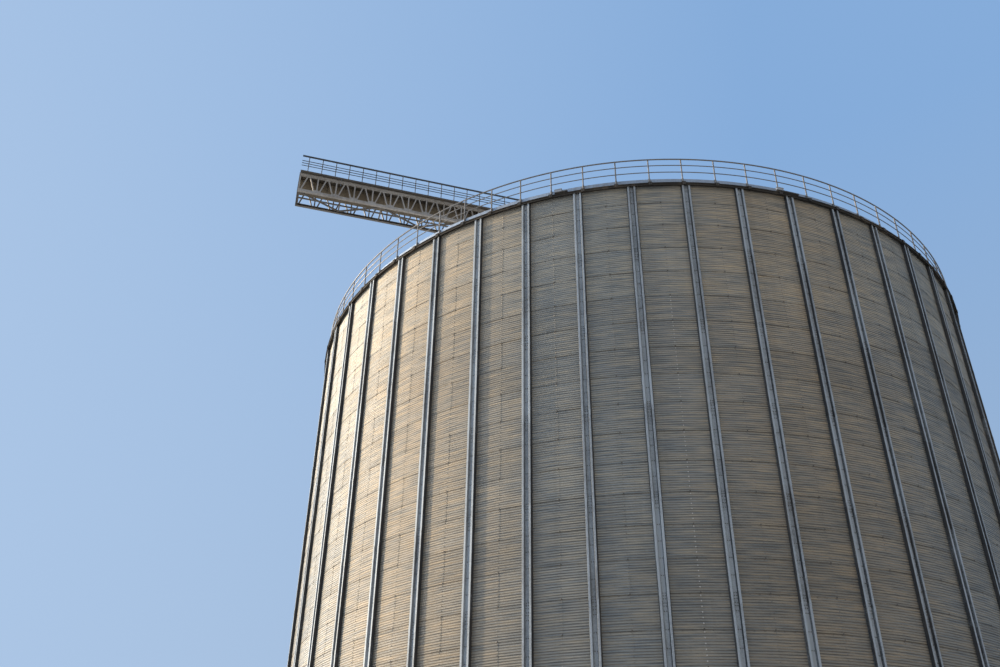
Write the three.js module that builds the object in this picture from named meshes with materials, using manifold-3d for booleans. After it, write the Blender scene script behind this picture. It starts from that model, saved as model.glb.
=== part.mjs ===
// Corrugated steel grain silo on a concrete ring, with a ribbed cone roof, a railing round the eave
// and a lattice conveyor gallery that crosses the roof to the peak.
// Millimetres, +Z up. The origin is on the silo's axis at ground level and the gallery runs along -X.

import * as THREE from 'three'
import { mergeVertices } from 'three/addons/utils/BufferGeometryUtils.js'
import Module from 'manifold-3d'

const wasm = await Module()
wasm.setup()

// Driving dimensions of the drum and its roof
const seam = 0.3
const cutMargin = 1
const wallRadius = 12250
const wallThickness = 12
const ringHeight = 850
const ringCount = 27
const segmentCount = 6
const baysPerSegment = 8
const foundationHeight = 200
const foundationOuter = 12560
const foundationInner = 12120
const floorThickness = 150
const roofPitch = THREE.MathUtils.degToRad(28)
const roofThickness = 22
const roofLip = 12385
const roofBend = 12180
const collarRadius = 1000

// Driving dimensions of the conveyor gallery
const galleryBottom = 30340
const galleryDepth = 980
const galleryHalfWidth = 500
const galleryOuterEnd = -14400
const panelLength = 765
const panelCount = 20

// Sizes worked out from the driving dimensions
const eaveLevel = foundationHeight + ringHeight * ringCount
const wallFoot = foundationHeight + seam
const bayAngle = 2 * Math.PI / (segmentCount * baysPerSegment)
const segmentAngle = bayAngle * baysPerSegment
const bayMiddle = Math.cos(bayAngle / 2)
const seamAngle = seam / wallRadius
const roofBase = eaveLevel + seam
const collarBase = roofBase + (roofBend - collarRadius) * Math.tan(roofPitch)
const deckLevel = galleryBottom + galleryDepth
const galleryInnerEnd = galleryOuterEnd + panelLength * panelCount

// Finishes
const galvanised = { color: 0x8f969b, roughness: 0.45, metalness: 0.8 }
const sheetSteel = { color: 0xa39a8a, roughness: 0.5, metalness: 0.7 }
const darkSteel = { color: 0x5b5a57, roughness: 0.6, metalness: 0.6 }
const concrete = { color: 0x9a958c, roughness: 0.9, metalness: 0 }

const silo = new THREE.Group()
silo.name = 'grain_silo'

function place(name, geometry, finish) {
  const mesh = new THREE.Mesh(geometry, new THREE.MeshStandardMaterial(finish))
  mesh.name = name
  silo.add(mesh)
}

// Geometry with one vertex at each corner, so that it is one closed surface
function closed(geometry) {
  const bare = geometry.clone()
  bare.deleteAttribute('normal')
  bare.deleteAttribute('uv')
  return mergeVertices(bare, 1e-3)
}

function signedVolume(points, faces) {
  let volume = 0
  for (const [a, b, c] of faces) {
    const p = new THREE.Vector3(...points[a])
    const q = new THREE.Vector3(...points[b])
    const r = new THREE.Vector3(...points[c])
    volume += p.dot(q.cross(r)) / 6
  }
  return volume
}

// Closed body from corner points and triangles, turned so that its faces point out
function body(points, faces) {
  const outward = signedVolume(points, faces) > 0
  const index = faces.flatMap(([a, b, c]) => outward ? [a, b, c] : [a, c, b])
  const geometry = new THREE.BufferGeometry()
  geometry.setAttribute('position', new THREE.Float32BufferAttribute(points.flat(), 3))
  geometry.setIndex(index)
  return geometry
}

// Profile of [radius, z] corners carried round the axis, with flat ends; a station is [angle, radius factor]
function arcBody(profile, stations) {
  const count = profile.length
  const points = stations.flatMap(([angle, factor]) => profile.map(([radius, z]) => {
    return [radius * factor * Math.cos(angle), radius * factor * Math.sin(angle), z]
  }))
  const faces = []
  for (let row = 0; row + 1 < stations.length; row++) {
    for (let i = 0; i < count; i++) {
      const a = row * count + i
      const b = row * count + (i + 1) % count
      faces.push([a, b, b + count], [a, b + count, a + count])
    }
  }
  const outline = profile.map(([radius, z]) => new THREE.Vector2(radius, z))
  const last = (stations.length - 1) * count
  for (const [a, b, c] of THREE.ShapeUtils.triangulateShape(outline, [])) {
    faces.push([a, c, b], [last + a, last + b, last + c])
  }
  return body(points, faces)
}

function rectangle(inner, outer, bottom, top) {
  return [[inner, bottom], [outer, bottom], [outer, top], [inner, top]]
}

// Stations from one angle to another in equal steps, drawn in by half a seam at both ends
function fan(start, end, steps) {
  const first = start + seamAngle / 2
  const last = end - seamAngle / 2
  return Array.from({ length: steps + 1 }, (_, i) => [first + (last - first) * i / steps, 1])
}

function solidOf(geometry) {
  const merged = closed(geometry)
  return new wasm.Manifold(new wasm.Mesh({
    numProp: 3,
    vertProperties: new Float32Array(merged.attributes.position.array),
    triVerts: new Uint32Array(merged.index.array)
  }))
}

function geometryOf(solid) {
  const mesh = solid.getMesh()
  const geometry = new THREE.BufferGeometry()
  geometry.setAttribute('position', new THREE.BufferAttribute(new Float32Array(mesh.vertProperties), 3))
  geometry.setIndex(new THREE.BufferAttribute(new Uint32Array(mesh.triVerts), 1))
  return geometry
}

function join(geometries) {
  return geometryOf(geometries.map(solidOf).reduce((whole, piece) => whole.add(piece)))
}

function cut(geometry, tools) {
  return geometryOf(tools.map(solidOf).reduce((whole, tool) => whole.subtract(tool), solidOf(geometry)))
}

// Box given by its lowest and highest corners
function block(low, high) {
  const size = high.map((value, i) => value - low[i])
  const centre = high.map((value, i) => (value + low[i]) / 2)
  return new THREE.BoxGeometry(...size).translate(...centre)
}

// Box beside the round wall: its middle lies at an angle, its sides point along and away from the axis
function turnedBlock(angle, inner, outer, halfWidth, bottom, top) {
  return block([inner, -halfWidth, bottom], [outer, halfWidth, top]).rotateZ(angle)
}

// Straight bar of rectangular section from one point to another, its width lying level
function bar(from, to, width, height) {
  const a = new THREE.Vector3(...from)
  const b = new THREE.Vector3(...to)
  const along = b.clone().sub(a)
  const length = along.length()
  along.normalize()
  const upright = Math.hypot(along.x, along.y) < 1e-3
  const across = upright ? new THREE.Vector3(0, 1, 0) : new THREE.Vector3(0, 0, 1).cross(along)
  across.normalize()
  const turn = new THREE.Matrix4().makeBasis(along, across, along.clone().cross(across))
  const centre = a.add(b).multiplyScalar(0.5)
  return new THREE.BoxGeometry(length, width, height).applyMatrix4(turn).translate(...centre)
}

// Foundation: a concrete ring under the wall and the floor inside it
function foundation() {
  const steps = segmentCount * baysPerSegment
  const ring = rectangle(foundationInner, foundationOuter, 0, foundationHeight)
  const profile = [...ring, ring[0]].map(([radius, z]) => new THREE.Vector2(radius, z))
  place('foundation_ring', closed(new THREE.LatheGeometry(profile, steps).rotateX(Math.PI / 2)), concrete)
  const floorRadius = foundationInner - seam
  const floor = new THREE.CylinderGeometry(floorRadius, floorRadius, floorThickness, steps)
  floor.rotateX(Math.PI / 2).rotateZ(Math.PI / 2).translate(0, 0, floorThickness / 2)
  place('floor_slab', closed(floor), concrete)
}

// Wall: six curved segments of eight bays, the first with a doorway
const doorAngle = bayAngle * 1.5
const doorHalfWidth = 380
const doorSill = wallFoot + 550
const doorHead = doorSill + 1500
const doorReach = 300

function wallSegments() {
  const profile = rectangle(wallRadius - wallThickness, wallRadius, wallFoot, eaveLevel)
  for (let i = 0; i < segmentCount; i++) {
    const segment = arcBody(profile, fan(i * segmentAngle, (i + 1) * segmentAngle, baysPerSegment))
    const hole = turnedBlock(doorAngle, wallRadius - doorReach, wallRadius + doorReach,
      doorHalfWidth, doorSill, doorHead)
    place(`wall_${i + 1}`, i === 0 ? cut(segment, [hole]) : segment, sheetSteel)
  }
}

// Door: a frame that stands proud of the wall round the doorway, and a closed leaf inside it
const frameWidth = 90
const frameDepth = 110
const frameLap = 20
const leafInset = 30
const leafThickness = 30

function wallDoor() {
  const face = wallRadius * bayMiddle + seam
  const opening = turnedBlock(doorAngle, face - cutMargin, face + frameDepth + cutMargin,
    doorHalfWidth - frameLap, doorSill + frameLap, doorHead - frameLap)
  const frame = turnedBlock(doorAngle, face, face + frameDepth, doorHalfWidth + frameWidth,
    doorSill - frameWidth, doorHead + frameWidth)
  place('door_frame', cut(frame, [opening]), galvanised)
  const gap = frameLap + seam
  const leaf = turnedBlock(doorAngle, face + leafInset, face + leafInset + leafThickness, doorHalfWidth - gap,
    doorSill + gap, doorHead - gap)
  place('wall_door', leaf, galvanised)
}

// Stiffeners: a double-ridged upright on each bay line, tied by a foot angle and an eave angle
const ridgeOutline = [
  [0, -136], [85, -122], [85, -76], [18, -62], [18, 62], [85, 76], [85, 122], [0, 136]
]
const footAngleHeight = 150
const eaveAngleHeight = 60
const angleDepth = 112

function ridgedUpright(angle) {
  const bottom = wallFoot + footAngleHeight / 2
  const top = eaveLevel - eaveAngleHeight / 2
  const outline = new THREE.Shape(ridgeOutline.map(([out, side]) => new THREE.Vector2(out, side)))
  const upright = new THREE.ExtrudeGeometry(outline, { depth: top - bottom, bevelEnabled: false })
  return upright.translate(wallRadius + seam, 0, bottom).rotateZ(angle)
}

function stiffenerGroups() {
  const inner = wallRadius + seam
  const outer = wallRadius + angleDepth
  const foot = rectangle(inner, outer, wallFoot, wallFoot + footAngleHeight)
  const eave = rectangle(inner, outer, eaveLevel - eaveAngleHeight, eaveLevel)
  for (let i = 0; i < segmentCount; i++) {
    const lines = Array.from({ length: baysPerSegment }, (_, k) => i * segmentAngle + k * bayAngle)
    const start = lines[0] - bayAngle / 2
    const stations = [
      [start + seamAngle / 2, bayMiddle],
      ...lines.map(angle => [angle, 1]),
      [start + segmentAngle - seamAngle / 2, bayMiddle]
    ]
    const angles = [foot, eave].map(profile => arcBody(profile, stations))
    place(`stiffeners_${i + 1}`, join([...angles, ...lines.map(ridgedUpright)]), galvanised)
  }
}

// Roof: six sectors from a flat lip at the eave up to the collar, each bay with a raised rib
const ribHeight = 75
const ribHalfWidth = 35
const ribOuter = 12150
const ribInner = 1250
const ribSink = 8

function roofTop(radius) {
  return roofBase + (roofBend - radius) * Math.tan(roofPitch) + roofThickness
}

function roofRib(angle) {
  const section = [
    [ribOuter * bayMiddle, roofTop(ribOuter) - ribSink],
    [ribOuter * bayMiddle, roofTop(ribOuter) + ribHeight],
    [ribInner * bayMiddle, roofTop(ribInner) + ribHeight],
    [ribInner * bayMiddle, roofTop(ribInner) - ribSink]
  ]
  const outline = new THREE.Shape(section.map(([radius, z]) => new THREE.Vector2(radius, z)))
  const rib = new THREE.ExtrudeGeometry(outline, { depth: 2 * ribHalfWidth, bevelEnabled: false })
  return rib.rotateX(Math.PI / 2).translate(0, ribHalfWidth, 0).rotateZ(angle)
}

function roofSectors() {
  const profile = [
    [roofLip, roofBase],
    [roofLip, roofBase + roofThickness],
    [roofBend, roofBase + roofThickness],
    [collarRadius, collarBase + roofThickness],
    [collarRadius, collarBase],
    [roofBend, roofBase]
  ]
  for (let i = 0; i < segmentCount; i++) {
    const start = i * segmentAngle
    const sheet = arcBody(profile, fan(start, start + segmentAngle, baysPerSegment))
    const ribs = Array.from({ length: baysPerSegment }, (_, k) => roofRib(start + (k + 0.5) * bayAngle))
    place(`roof_${i + 1}`, join([sheet, ...ribs]), galvanised)
  }
}

const ladderAngle = bayAngle * 45.5

// Railing: posts on the roof's lip, a top rail and a toe board, with a gap where the ladder arrives
const railRadius = 12270
const proud = 3
const postsPerSegment = 13
const railHalf = 22
const railHeight = 42
const topRail = eaveLevel + 1083
const toeBoard = [eaveLevel + 118, eaveLevel + 281]
const railStart = -0.19 * bayAngle
const ladderGap = 450 / railRadius

function railingArc(name, start, end) {
  const posts = Math.round((end - start) / segmentAngle * postsPerSegment)
  const step = (end - start) / posts
  const flat = Math.cos(step / 2)
  const inner = railRadius - railHalf
  const outer = railRadius + railHalf
  const angles = fan(start, end, posts)
  const bars = [
    rectangle(inner, outer, topRail - railHeight, topRail),
    rectangle(inner, outer, ...toeBoard)
  ]
  const uprights = Array.from({ length: posts }, (_, i) => {
    const foot = roofBase + roofThickness + seam
    return turnedBlock(start + (i + 0.5) * step, inner * flat - proud, outer * flat + proud, railHalf + proud,
      foot, topRail - railHeight / 2)
  })
  place(name, join([...bars.map(profile => arcBody(profile, angles)), ...uprights]), galvanised)
}

function eaveRailing() {
  for (let i = 0; i + 1 < segmentCount; i++) {
    const start = railStart + i * segmentAngle
    railingArc(`railing_${i + 1}`, start, start + segmentAngle)
  }
  railingArc('railing_6', railStart + (segmentCount - 1) * segmentAngle, ladderAngle - ladderGap)
  railingArc('railing_7', ladderAngle + ladderGap, railStart + 2 * Math.PI)
}

// Peak: a collar with a lid, a frame of four legs that carries the gallery, and a landing
const collarSides = 16
const collarHeight = 420
const collarWall = 12
const collarSkirt = 240
const collarFlange = 60
const collarClearance = 1
const collarFoot = collarBase + roofThickness + seam
const collarTop = collarFoot + collarHeight
const lidThickness = 40
const lidRadius = collarRadius + 50
const lidTop = collarTop + seam + lidThickness
const spoutCentre = [0, 120]
const spoutHalf = 130
const legPlace = 630
const legHalf = 60
const frameReach = 1900
const frameHalfWidth = 1250
const beamHeight = 160

function peakCollar() {
  const profile = [
    [collarRadius - collarWall, collarFoot - collarSkirt],
    [collarRadius - collarClearance, collarFoot - collarSkirt],
    [collarRadius - collarClearance, collarFoot],
    [collarRadius + collarFlange, collarFoot],
    [collarRadius + collarFlange, collarFoot + collarWall],
    [collarRadius, collarFoot + collarWall],
    [collarRadius, collarTop],
    [collarRadius - collarWall, collarTop],
    [collarRadius - collarWall, collarFoot - collarSkirt]
  ]
  const points = profile.map(([radius, z]) => new THREE.Vector2(radius, z))
  place('peak_collar', closed(new THREE.LatheGeometry(points, collarSides).rotateX(Math.PI / 2)), galvanised)
}

// Upright square hole or duct round the spout's line
function spoutBlock(half, bottom, top) {
  const [x, y] = spoutCentre
  return block([x - half, y - half, bottom], [x + half, y + half, top])
}

function peakLid() {
  const lid = new THREE.CylinderGeometry(lidRadius, lidRadius, lidThickness, collarSides)
  lid.rotateX(Math.PI / 2).translate(0, 0, lidTop - lidThickness / 2)
  const hole = spoutBlock(spoutHalf + seam, collarTop - cutMargin, lidTop + cutMargin)
  place('peak_lid', cut(lid, [hole]), galvanised)
}

function peakFrame() {
  const top = galleryBottom - seam
  const parts = []
  for (const x of [-legPlace, legPlace]) {
    for (const y of [-legPlace, legPlace]) {
      parts.push(block([x - legHalf, y - legHalf, lidTop + seam],
        [x + legHalf, y + legHalf, top - beamHeight / 2]))
    }
    parts.push(block([x - legHalf, -frameHalfWidth, top - beamHeight], [x + legHalf, frameHalfWidth, top]))
  }
  for (const y of [-legPlace, legPlace]) {
    parts.push(block([-legPlace, y - legHalf, top - beamHeight], [frameReach, y + legHalf, top]))
  }
  place('peak_frame', join(parts), darkSteel)
}

const fenceHalf = 20

// Level fence of bars along a straight line, with posts at equal steps
function straightFence(from, to, foot, top, posts, rails) {
  const [ax, ay] = from
  const [bx, by] = to
  const parts = rails.map(([bottom, height]) => {
    const middle = foot + bottom + height / 2
    return bar([ax, ay, middle], [bx, by, middle], 2 * fenceHalf, height)
  })
  for (let i = 0; i < posts; i++) {
    const share = (i + 0.5) / posts
    const x = ax + (bx - ax) * share
    const y = ay + (by - ay) * share
    parts.push(block([x - fenceHalf - proud, y - fenceHalf - proud, foot],
      [x + fenceHalf + proud, y + fenceHalf + proud, top - fenceHalf]))
  }
  return parts
}

const landingStart = galleryInnerEnd + 60
const landingThickness = 40
const fenceInset = 40
const guardHeight = 900
const guardRails = [[guardHeight - railHeight, railHeight], [guardHeight / 2, 36]]

function peakLanding() {
  const top = galleryBottom + landingThickness
  const landing = block([landingStart, -frameHalfWidth, galleryBottom], [frameReach, frameHalfWidth, top])
  place('peak_landing', landing, darkSteel)
  const foot = top + seam
  const x = frameReach - fenceInset
  const y = frameHalfWidth - fenceInset
  const start = landingStart + fenceInset
  const end = x + fenceHalf
  const level = foot + guardHeight
  const sides = [
    ...straightFence([start, y], [end, y], foot, level, 2, guardRails),
    ...straightFence([x, -y], [x, y], foot, level, 3, guardRails),
    ...straightFence([start, -y], [end, -y], foot, level, 2, guardRails)
  ]
  place('landing_railing', join(sides), galvanised)
}

// Gallery: two lattice trusses, bracing between their lower chords, a deck and two railings
const chordWidth = 100
const chordHeight = 110
const webWidth = 54
const webSpread = 85
const trussLine = galleryHalfWidth - chordWidth / 2
const bracingPanels = 8
const endFrameThickness = 20
const endFrameMember = 100
const deckThickness = 36
const deckHalfWidth = galleryHalfWidth + 80

function truss(name, y) {
  const low = galleryBottom + chordHeight / 2
  const high = deckLevel - chordHeight / 2
  const parts = [
    bar([galleryOuterEnd, y, low], [galleryInnerEnd, y, low], chordWidth, chordHeight),
    bar([galleryOuterEnd, y, high], [galleryInnerEnd, y, high], chordWidth, chordHeight)
  ]
  for (const x of [galleryOuterEnd + webWidth / 2, galleryInnerEnd - webWidth / 2]) {
    parts.push(bar([x, y, low], [x, y, high], webWidth, webWidth))
  }
  for (let i = 0; i < panelCount; i++) {
    const left = galleryOuterEnd + i * panelLength + webSpread + webWidth / 2
    const right = left + panelLength - 2 * webSpread - webWidth
    const middle = (left + right) / 2
    parts.push(bar([left, y, low], [middle - webSpread / 2, y, high], webWidth, webWidth))
    parts.push(bar([middle + webSpread / 2, y, high], [right, y, low], webWidth, webWidth))
  }
  place(name, join(parts), galvanised)
}

function galleryBracing() {
  const z = galleryBottom + chordHeight / 2
  const reach = trussLine - chordWidth / 2 - seam
  const half = webWidth / 2
  const start = galleryOuterEnd + webWidth
  const step = (-legPlace - start) / bracingPanels
  const turn = reach - half
  const parts = []
  for (let i = 0; i < bracingPanels; i++) {
    const x = start + i * step
    const y = i % 2 ? turn : -turn
    parts.push(bar([x, y, z], [x + step, -y, z], webWidth, webWidth))
  }
  for (let i = 0; i <= bracingPanels; i++) {
    const x = start + i * step
    parts.push(block([x - half, -reach, z - half], [x + half, reach, z + half]))
  }
  parts.push(block([start, -half + proud, z - half + proud], [-legPlace, half - proud, z + half - proud]))
  place('gallery_bracing', join(parts), galvanised)
}

// Open end frame that the gallery is bolted on by
function galleryEndFrame() {
  const face = galleryOuterEnd - seam
  const frame = block([face - endFrameThickness, -galleryHalfWidth, galleryBottom],
    [face, galleryHalfWidth, deckLevel])
  const low = [-galleryHalfWidth + endFrameMember, galleryBottom + endFrameMember]
  const high = [galleryHalfWidth - endFrameMember, deckLevel - endFrameMember]
  const hole = block([face - endFrameThickness - cutMargin, ...low], [face + cutMargin, ...high])
  place('gallery_end_frame', cut(frame, [hole]), galvanised)
}

function galleryDeck() {
  const bottom = deckLevel + seam
  const deck = block([galleryOuterEnd, -deckHalfWidth, bottom],
    [galleryInnerEnd, deckHalfWidth, bottom + deckThickness])
  place('gallery_deck', deck, darkSteel)
}

const deckTop = deckLevel + seam + deckThickness
const galleryPosts = 27
const guardLine = deckHalfWidth - 25

function galleryRailing(name, y) {
  const foot = deckTop + seam
  place(name, join(straightFence([galleryOuterEnd, y], [galleryInnerEnd, y], foot, foot + guardHeight,
    galleryPosts, guardRails)), galvanised)
}

// Conveyor: a covered trough hung under the deck, its head over the peak and the spout down into the lid
const troughHalfWidth = 200
const troughDepth = 490
const coverOverhang = 18
const coverThickness = 30
const headOverhang = 40
const headLength = 620
const headDepth = 560

function conveyor() {
  const [, y] = spoutCentre
  const coverHalfWidth = troughHalfWidth + coverOverhang
  const outline = new THREE.Shape([
    [-troughHalfWidth, -troughDepth], [troughHalfWidth, -troughDepth], [troughHalfWidth, -coverThickness],
    [coverHalfWidth, -coverThickness], [coverHalfWidth, 0],
    [-coverHalfWidth, 0], [-coverHalfWidth, -coverThickness],
    [-troughHalfWidth, -coverThickness]
  ].map(([across, up]) => new THREE.Vector2(across, up)))
  const headStart = -headLength / 2
  const trough = new THREE.ExtrudeGeometry(outline, {
    depth: headStart - seam - galleryOuterEnd,
    bevelEnabled: false
  })
  trough.rotateX(Math.PI / 2).rotateZ(Math.PI / 2).translate(galleryOuterEnd, y, deckLevel)
  place('conveyor_trough', closed(trough), galvanised)
  const headHalfWidth = troughHalfWidth + headOverhang
  const headFoot = deckLevel - headDepth
  const head = block([headStart, y - headHalfWidth, headFoot], [headStart + headLength, y + headHalfWidth, deckLevel])
  place('conveyor_head', head, galvanised)
  place('feed_spout', spoutBlock(spoutHalf, collarTop - collarSkirt, headFoot - seam), galvanised)
}

const rungHalf = 13

// Ladder of two stringers and rungs, laid between two points with its rungs across a given direction
function ladder(from, to, across, halfWidth, spacing, depth) {
  const a = new THREE.Vector3(...from)
  const b = new THREE.Vector3(...to)
  const side = new THREE.Vector3(...across).normalize()
  const along = b.clone().sub(a)
  const length = along.length()
  along.normalize()
  const turn = new THREE.Matrix4().makeBasis(along, side, along.clone().cross(side))
  const lay = geometry => geometry.applyMatrix4(turn).translate(...a)
  const thickness = 16
  const parts = [-halfWidth, halfWidth].map(y => {
    return lay(block([0, y - thickness / 2, -depth / 2], [length, y + thickness / 2, depth / 2]))
  })
  const rungs = Math.floor(length / spacing)
  for (let i = 0; i < rungs; i++) {
    const x = (i + 0.5) * length / rungs
    parts.push(lay(block([x - rungHalf, -halfWidth, -rungHalf], [x + rungHalf, halfWidth, rungHalf])))
  }
  return parts
}

const ladderRadius = 12450
const ladderHalfWidth = 225
const ladderDepth = 60
const rungSpacing = 900
const standoffCount = 5
const standoffHalfWidth = 20
const standoffHalfHeight = 25

function wallLadder() {
  const across = [-Math.sin(ladderAngle), Math.cos(ladderAngle), 0]
  const at = z => [ladderRadius * Math.cos(ladderAngle), ladderRadius * Math.sin(ladderAngle), z]
  const parts = ladder(at(wallFoot), at(topRail), across, ladderHalfWidth, rungSpacing, ladderDepth)
  const wallFace = wallRadius * bayMiddle + seam
  for (let i = 0; i < standoffCount; i++) {
    const z = wallFoot + ringHeight * ringCount * (i + 0.5) / standoffCount
    for (const y of [-ladderHalfWidth, ladderHalfWidth]) {
      parts.push(block([wallFace, y - standoffHalfWidth, z - standoffHalfHeight],
        [ladderRadius, y + standoffHalfWidth, z + standoffHalfHeight]).rotateZ(ladderAngle))
    }
  }
  place('wall_ladder', join(parts), galvanised)
}

const roofLadderOuter = 11900
const roofLadderInner = 2400

// The roof ladder lies with its rungs on a rib
function roofLadder() {
  const across = [-Math.sin(ladderAngle), Math.cos(ladderAngle), 0]
  const lift = (rungHalf + seam) / Math.cos(Math.atan(Math.tan(roofPitch) / bayMiddle))
  const at = radius => {
    const z = roofTop(radius / bayMiddle) + ribHeight + lift
    return [radius * Math.cos(ladderAngle), radius * Math.sin(ladderAngle), z]
  }
  place('roof_ladder', join(ladder(at(roofLadderOuter), at(roofLadderInner), across, ladderHalfWidth,
    rungSpacing, ladderDepth)), galvanised)
}

foundation()
wallSegments()
wallDoor()
stiffenerGroups()
roofSectors()
eaveRailing()
peakCollar()
peakLid()
peakFrame()
peakLanding()
truss('gallery_truss_near', -trussLine)
truss('gallery_truss_far', trussLine)
galleryBracing()
galleryEndFrame()
galleryDeck()
galleryRailing('gallery_railing_near', -guardLine)
galleryRailing('gallery_railing_far', guardLine)
conveyor()
wallLadder()
roofLadder()

export default silo
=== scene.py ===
"""Grain silo: corrugated bolted wall, ridged uprights, ribbed roof, railed eave and conveyor gallery."""

import math

import bpy
import numpy as np
from mathutils import Matrix, Vector


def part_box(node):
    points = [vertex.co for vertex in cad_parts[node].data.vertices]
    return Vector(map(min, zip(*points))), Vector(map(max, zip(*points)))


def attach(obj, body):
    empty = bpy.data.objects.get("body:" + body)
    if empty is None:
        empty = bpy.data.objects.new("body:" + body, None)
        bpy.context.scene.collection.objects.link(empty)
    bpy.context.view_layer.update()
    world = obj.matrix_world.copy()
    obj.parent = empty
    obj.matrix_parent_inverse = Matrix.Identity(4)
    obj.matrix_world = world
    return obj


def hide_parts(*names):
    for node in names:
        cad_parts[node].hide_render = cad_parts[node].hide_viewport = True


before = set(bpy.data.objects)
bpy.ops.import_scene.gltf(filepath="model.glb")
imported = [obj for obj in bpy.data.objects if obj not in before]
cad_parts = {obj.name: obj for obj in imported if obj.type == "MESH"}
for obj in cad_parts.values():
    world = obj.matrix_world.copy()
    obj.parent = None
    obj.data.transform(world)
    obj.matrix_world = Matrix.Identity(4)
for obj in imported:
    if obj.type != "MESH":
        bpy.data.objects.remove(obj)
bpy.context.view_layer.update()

# Driving sizes in metres, the same as the solids'

SEAM = 0.0003
RADIUS = 12.25
RING = 0.85
RINGS = 27
WAVES_PER_RING = 13
PITCH = RING / WAVES_PER_RING
BAYS = 48
BAY = 2 * math.pi / BAYS
FLAT = math.cos(BAY / 2)
SEGMENTS = 6
SEGMENT = 2 * math.pi / SEGMENTS
SEGMENT_BAYS = BAYS // SEGMENTS
FOUNDATION = 0.2
FOUNDATION_OUTER = 12.56
FOUNDATION_INNER = 12.12
FOOT = FOUNDATION + SEAM
EAVE = FOUNDATION + RING * RINGS
TOP_RING = 0.65
LOWEST_SEAM = EAVE - TOP_RING - RING * (RINGS - 2)
ROOF_PITCH = math.radians(28)
ROOF_BASE = EAVE + SEAM
ROOF_THICKNESS = 0.022
ROOF_LIP = 12.385
ROOF_BEND = 12.18
COLLAR = 1.0
GALLERY_LOW = 30.34
GALLERY_DEPTH = 0.98
GALLERY_HALF = 0.5
OUTER_END = -14.4
PANEL = 0.765
PANELS = 20
INNER_END = OUTER_END + PANEL * PANELS
DECK = GALLERY_LOW + GALLERY_DEPTH
DECK_HALF = GALLERY_HALF + 0.08
DECK_THICKNESS = 0.036
DECK_TOP = DECK + SEAM + DECK_THICKNESS

UP = (0, 0, 1)
OUTER_TOP = [5, 6]
BOX_FACES = [[0, 3, 2, 1], [4, 5, 6, 7], [0, 1, 5, 4], [1, 2, 6, 5], [2, 3, 7, 6], [3, 0, 4, 7]]


def add_object(name, data):
    item = bpy.data.objects.new(name, data)
    bpy.context.scene.collection.objects.link(item)
    return item


class Shape:
    """Points and faces of one piece, gathered part by part; each point has a tone, 0 dark to 1 light, which
    on the uprights is painted shade.
    """

    def __init__(self):
        self.points = []
        self.faces = {}
        self.tones = []
        self.count = 0

    def add(self, points, faces, tone=0.5):
        points = np.asarray(points, float).reshape(-1, 3)
        faces = np.asarray(faces, int)
        self.points.append(points)
        self.tones.append(np.full(len(points), tone) if np.isscalar(tone) else np.asarray(tone, float))
        self.faces.setdefault(faces.shape[1], []).append(faces + self.count)
        self.count += len(points)

    def add_copies(self, points, faces, tone=0.5):
        """Copies of one form: points is copies x corners x 3."""
        copies, corners = points.shape[:2]
        faces = np.asarray(faces, int)
        all_faces = (faces[None] + np.arange(copies)[:, None, None] * corners).reshape(-1, faces.shape[1])
        self.add(points, all_faces, tone)

    def add_prisms(self, points, tone=0.5, both_ends=True):
        """Prisms whose corners are those of one end and then of the other: prisms x corners x 3."""
        sides = points.shape[1] // 2
        here = np.arange(sides)
        after = (here + 1) % sides
        each = np.arange(len(points))[:, None] * 2 * sides + self.count
        ends = [each + sides + here]
        if both_ends:
            ends.insert(0, each + here[::-1])
        self.add_copies(points, np.stack([here, after, after + sides, here + sides], axis=-1), tone)
        self.faces.setdefault(sides, []).append(np.concatenate(ends))

    def make(self, name, material, slot, nodes=(), sharp=35.0):
        """The piece as a mesh, which rides on the silo and replaces the named solids."""
        points = np.concatenate(self.points)
        groups = [np.concatenate(group) for _, group in sorted(self.faces.items())]
        corners = np.concatenate([group.ravel() for group in groups])
        sizes = np.concatenate([np.full(len(group), group.shape[1]) for group in groups])
        starts = np.cumsum(sizes) - sizes
        mesh = bpy.data.meshes.new(name)
        mesh.vertices.add(len(points))
        mesh.vertices.foreach_set("co", points.ravel())
        mesh.loops.add(len(corners))
        mesh.loops.foreach_set("vertex_index", corners.astype(np.int32))
        mesh.polygons.add(len(sizes))
        mesh.polygons.foreach_set("loop_start", starts.astype(np.int32))
        mesh.update(calc_edges=True)
        mesh.shade_smooth()
        mesh.set_sharp_from_angle(angle=math.radians(sharp))
        tones = mesh.attributes.new("chance", "FLOAT", "POINT")
        tones.data.foreach_set("value", np.concatenate(self.tones).astype(np.float32))
        mesh.materials.append(material)
        piece = add_object(name, mesh)
        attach(piece, "root")
        if nodes:
            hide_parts(*nodes)
        return piece


def unit(vectors):
    return vectors / np.linalg.norm(vectors, axis=1, keepdims=True)


def spot(radius, angle, z):
    """Points at a radius, angle and height, any of them arrays."""
    radius, angle, z = np.broadcast_arrays(radius, angle, z)
    return np.stack([radius * np.cos(angle), radius * np.sin(angle), z], axis=-1).reshape(-1, 3)


def outward(angle):
    angle = np.atleast_1d(angle)
    return np.stack([np.cos(angle), np.sin(angle), 0 * angle], axis=-1)


def turned(points, angles):
    """Points given as out, side and up, turned about the axis to each angle."""
    points = np.asarray(points, float)[None]
    cos = np.cos(np.atleast_1d(angles))[:, None]
    sin = np.sin(np.atleast_1d(angles))[:, None]
    out, side, up = points[..., 0], points[..., 1], points[..., 2]
    return np.stack([out * cos - side * sin, out * sin + side * cos, up + 0 * cos], axis=-1)


def placed(out, side, up, angles):
    """One place, given as out, side and up, at each angle round the silo."""
    return turned([[out, side, up]], angles).reshape(-1, 3)


def box_corners(low, high):
    (x0, y0, z0), (x1, y1, z1) = low, high
    return [[x0, y0, z0], [x1, y0, z0], [x1, y1, z0], [x0, y1, z0],
            [x0, y0, z1], [x1, y0, z1], [x1, y1, z1], [x0, y1, z1]]


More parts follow.
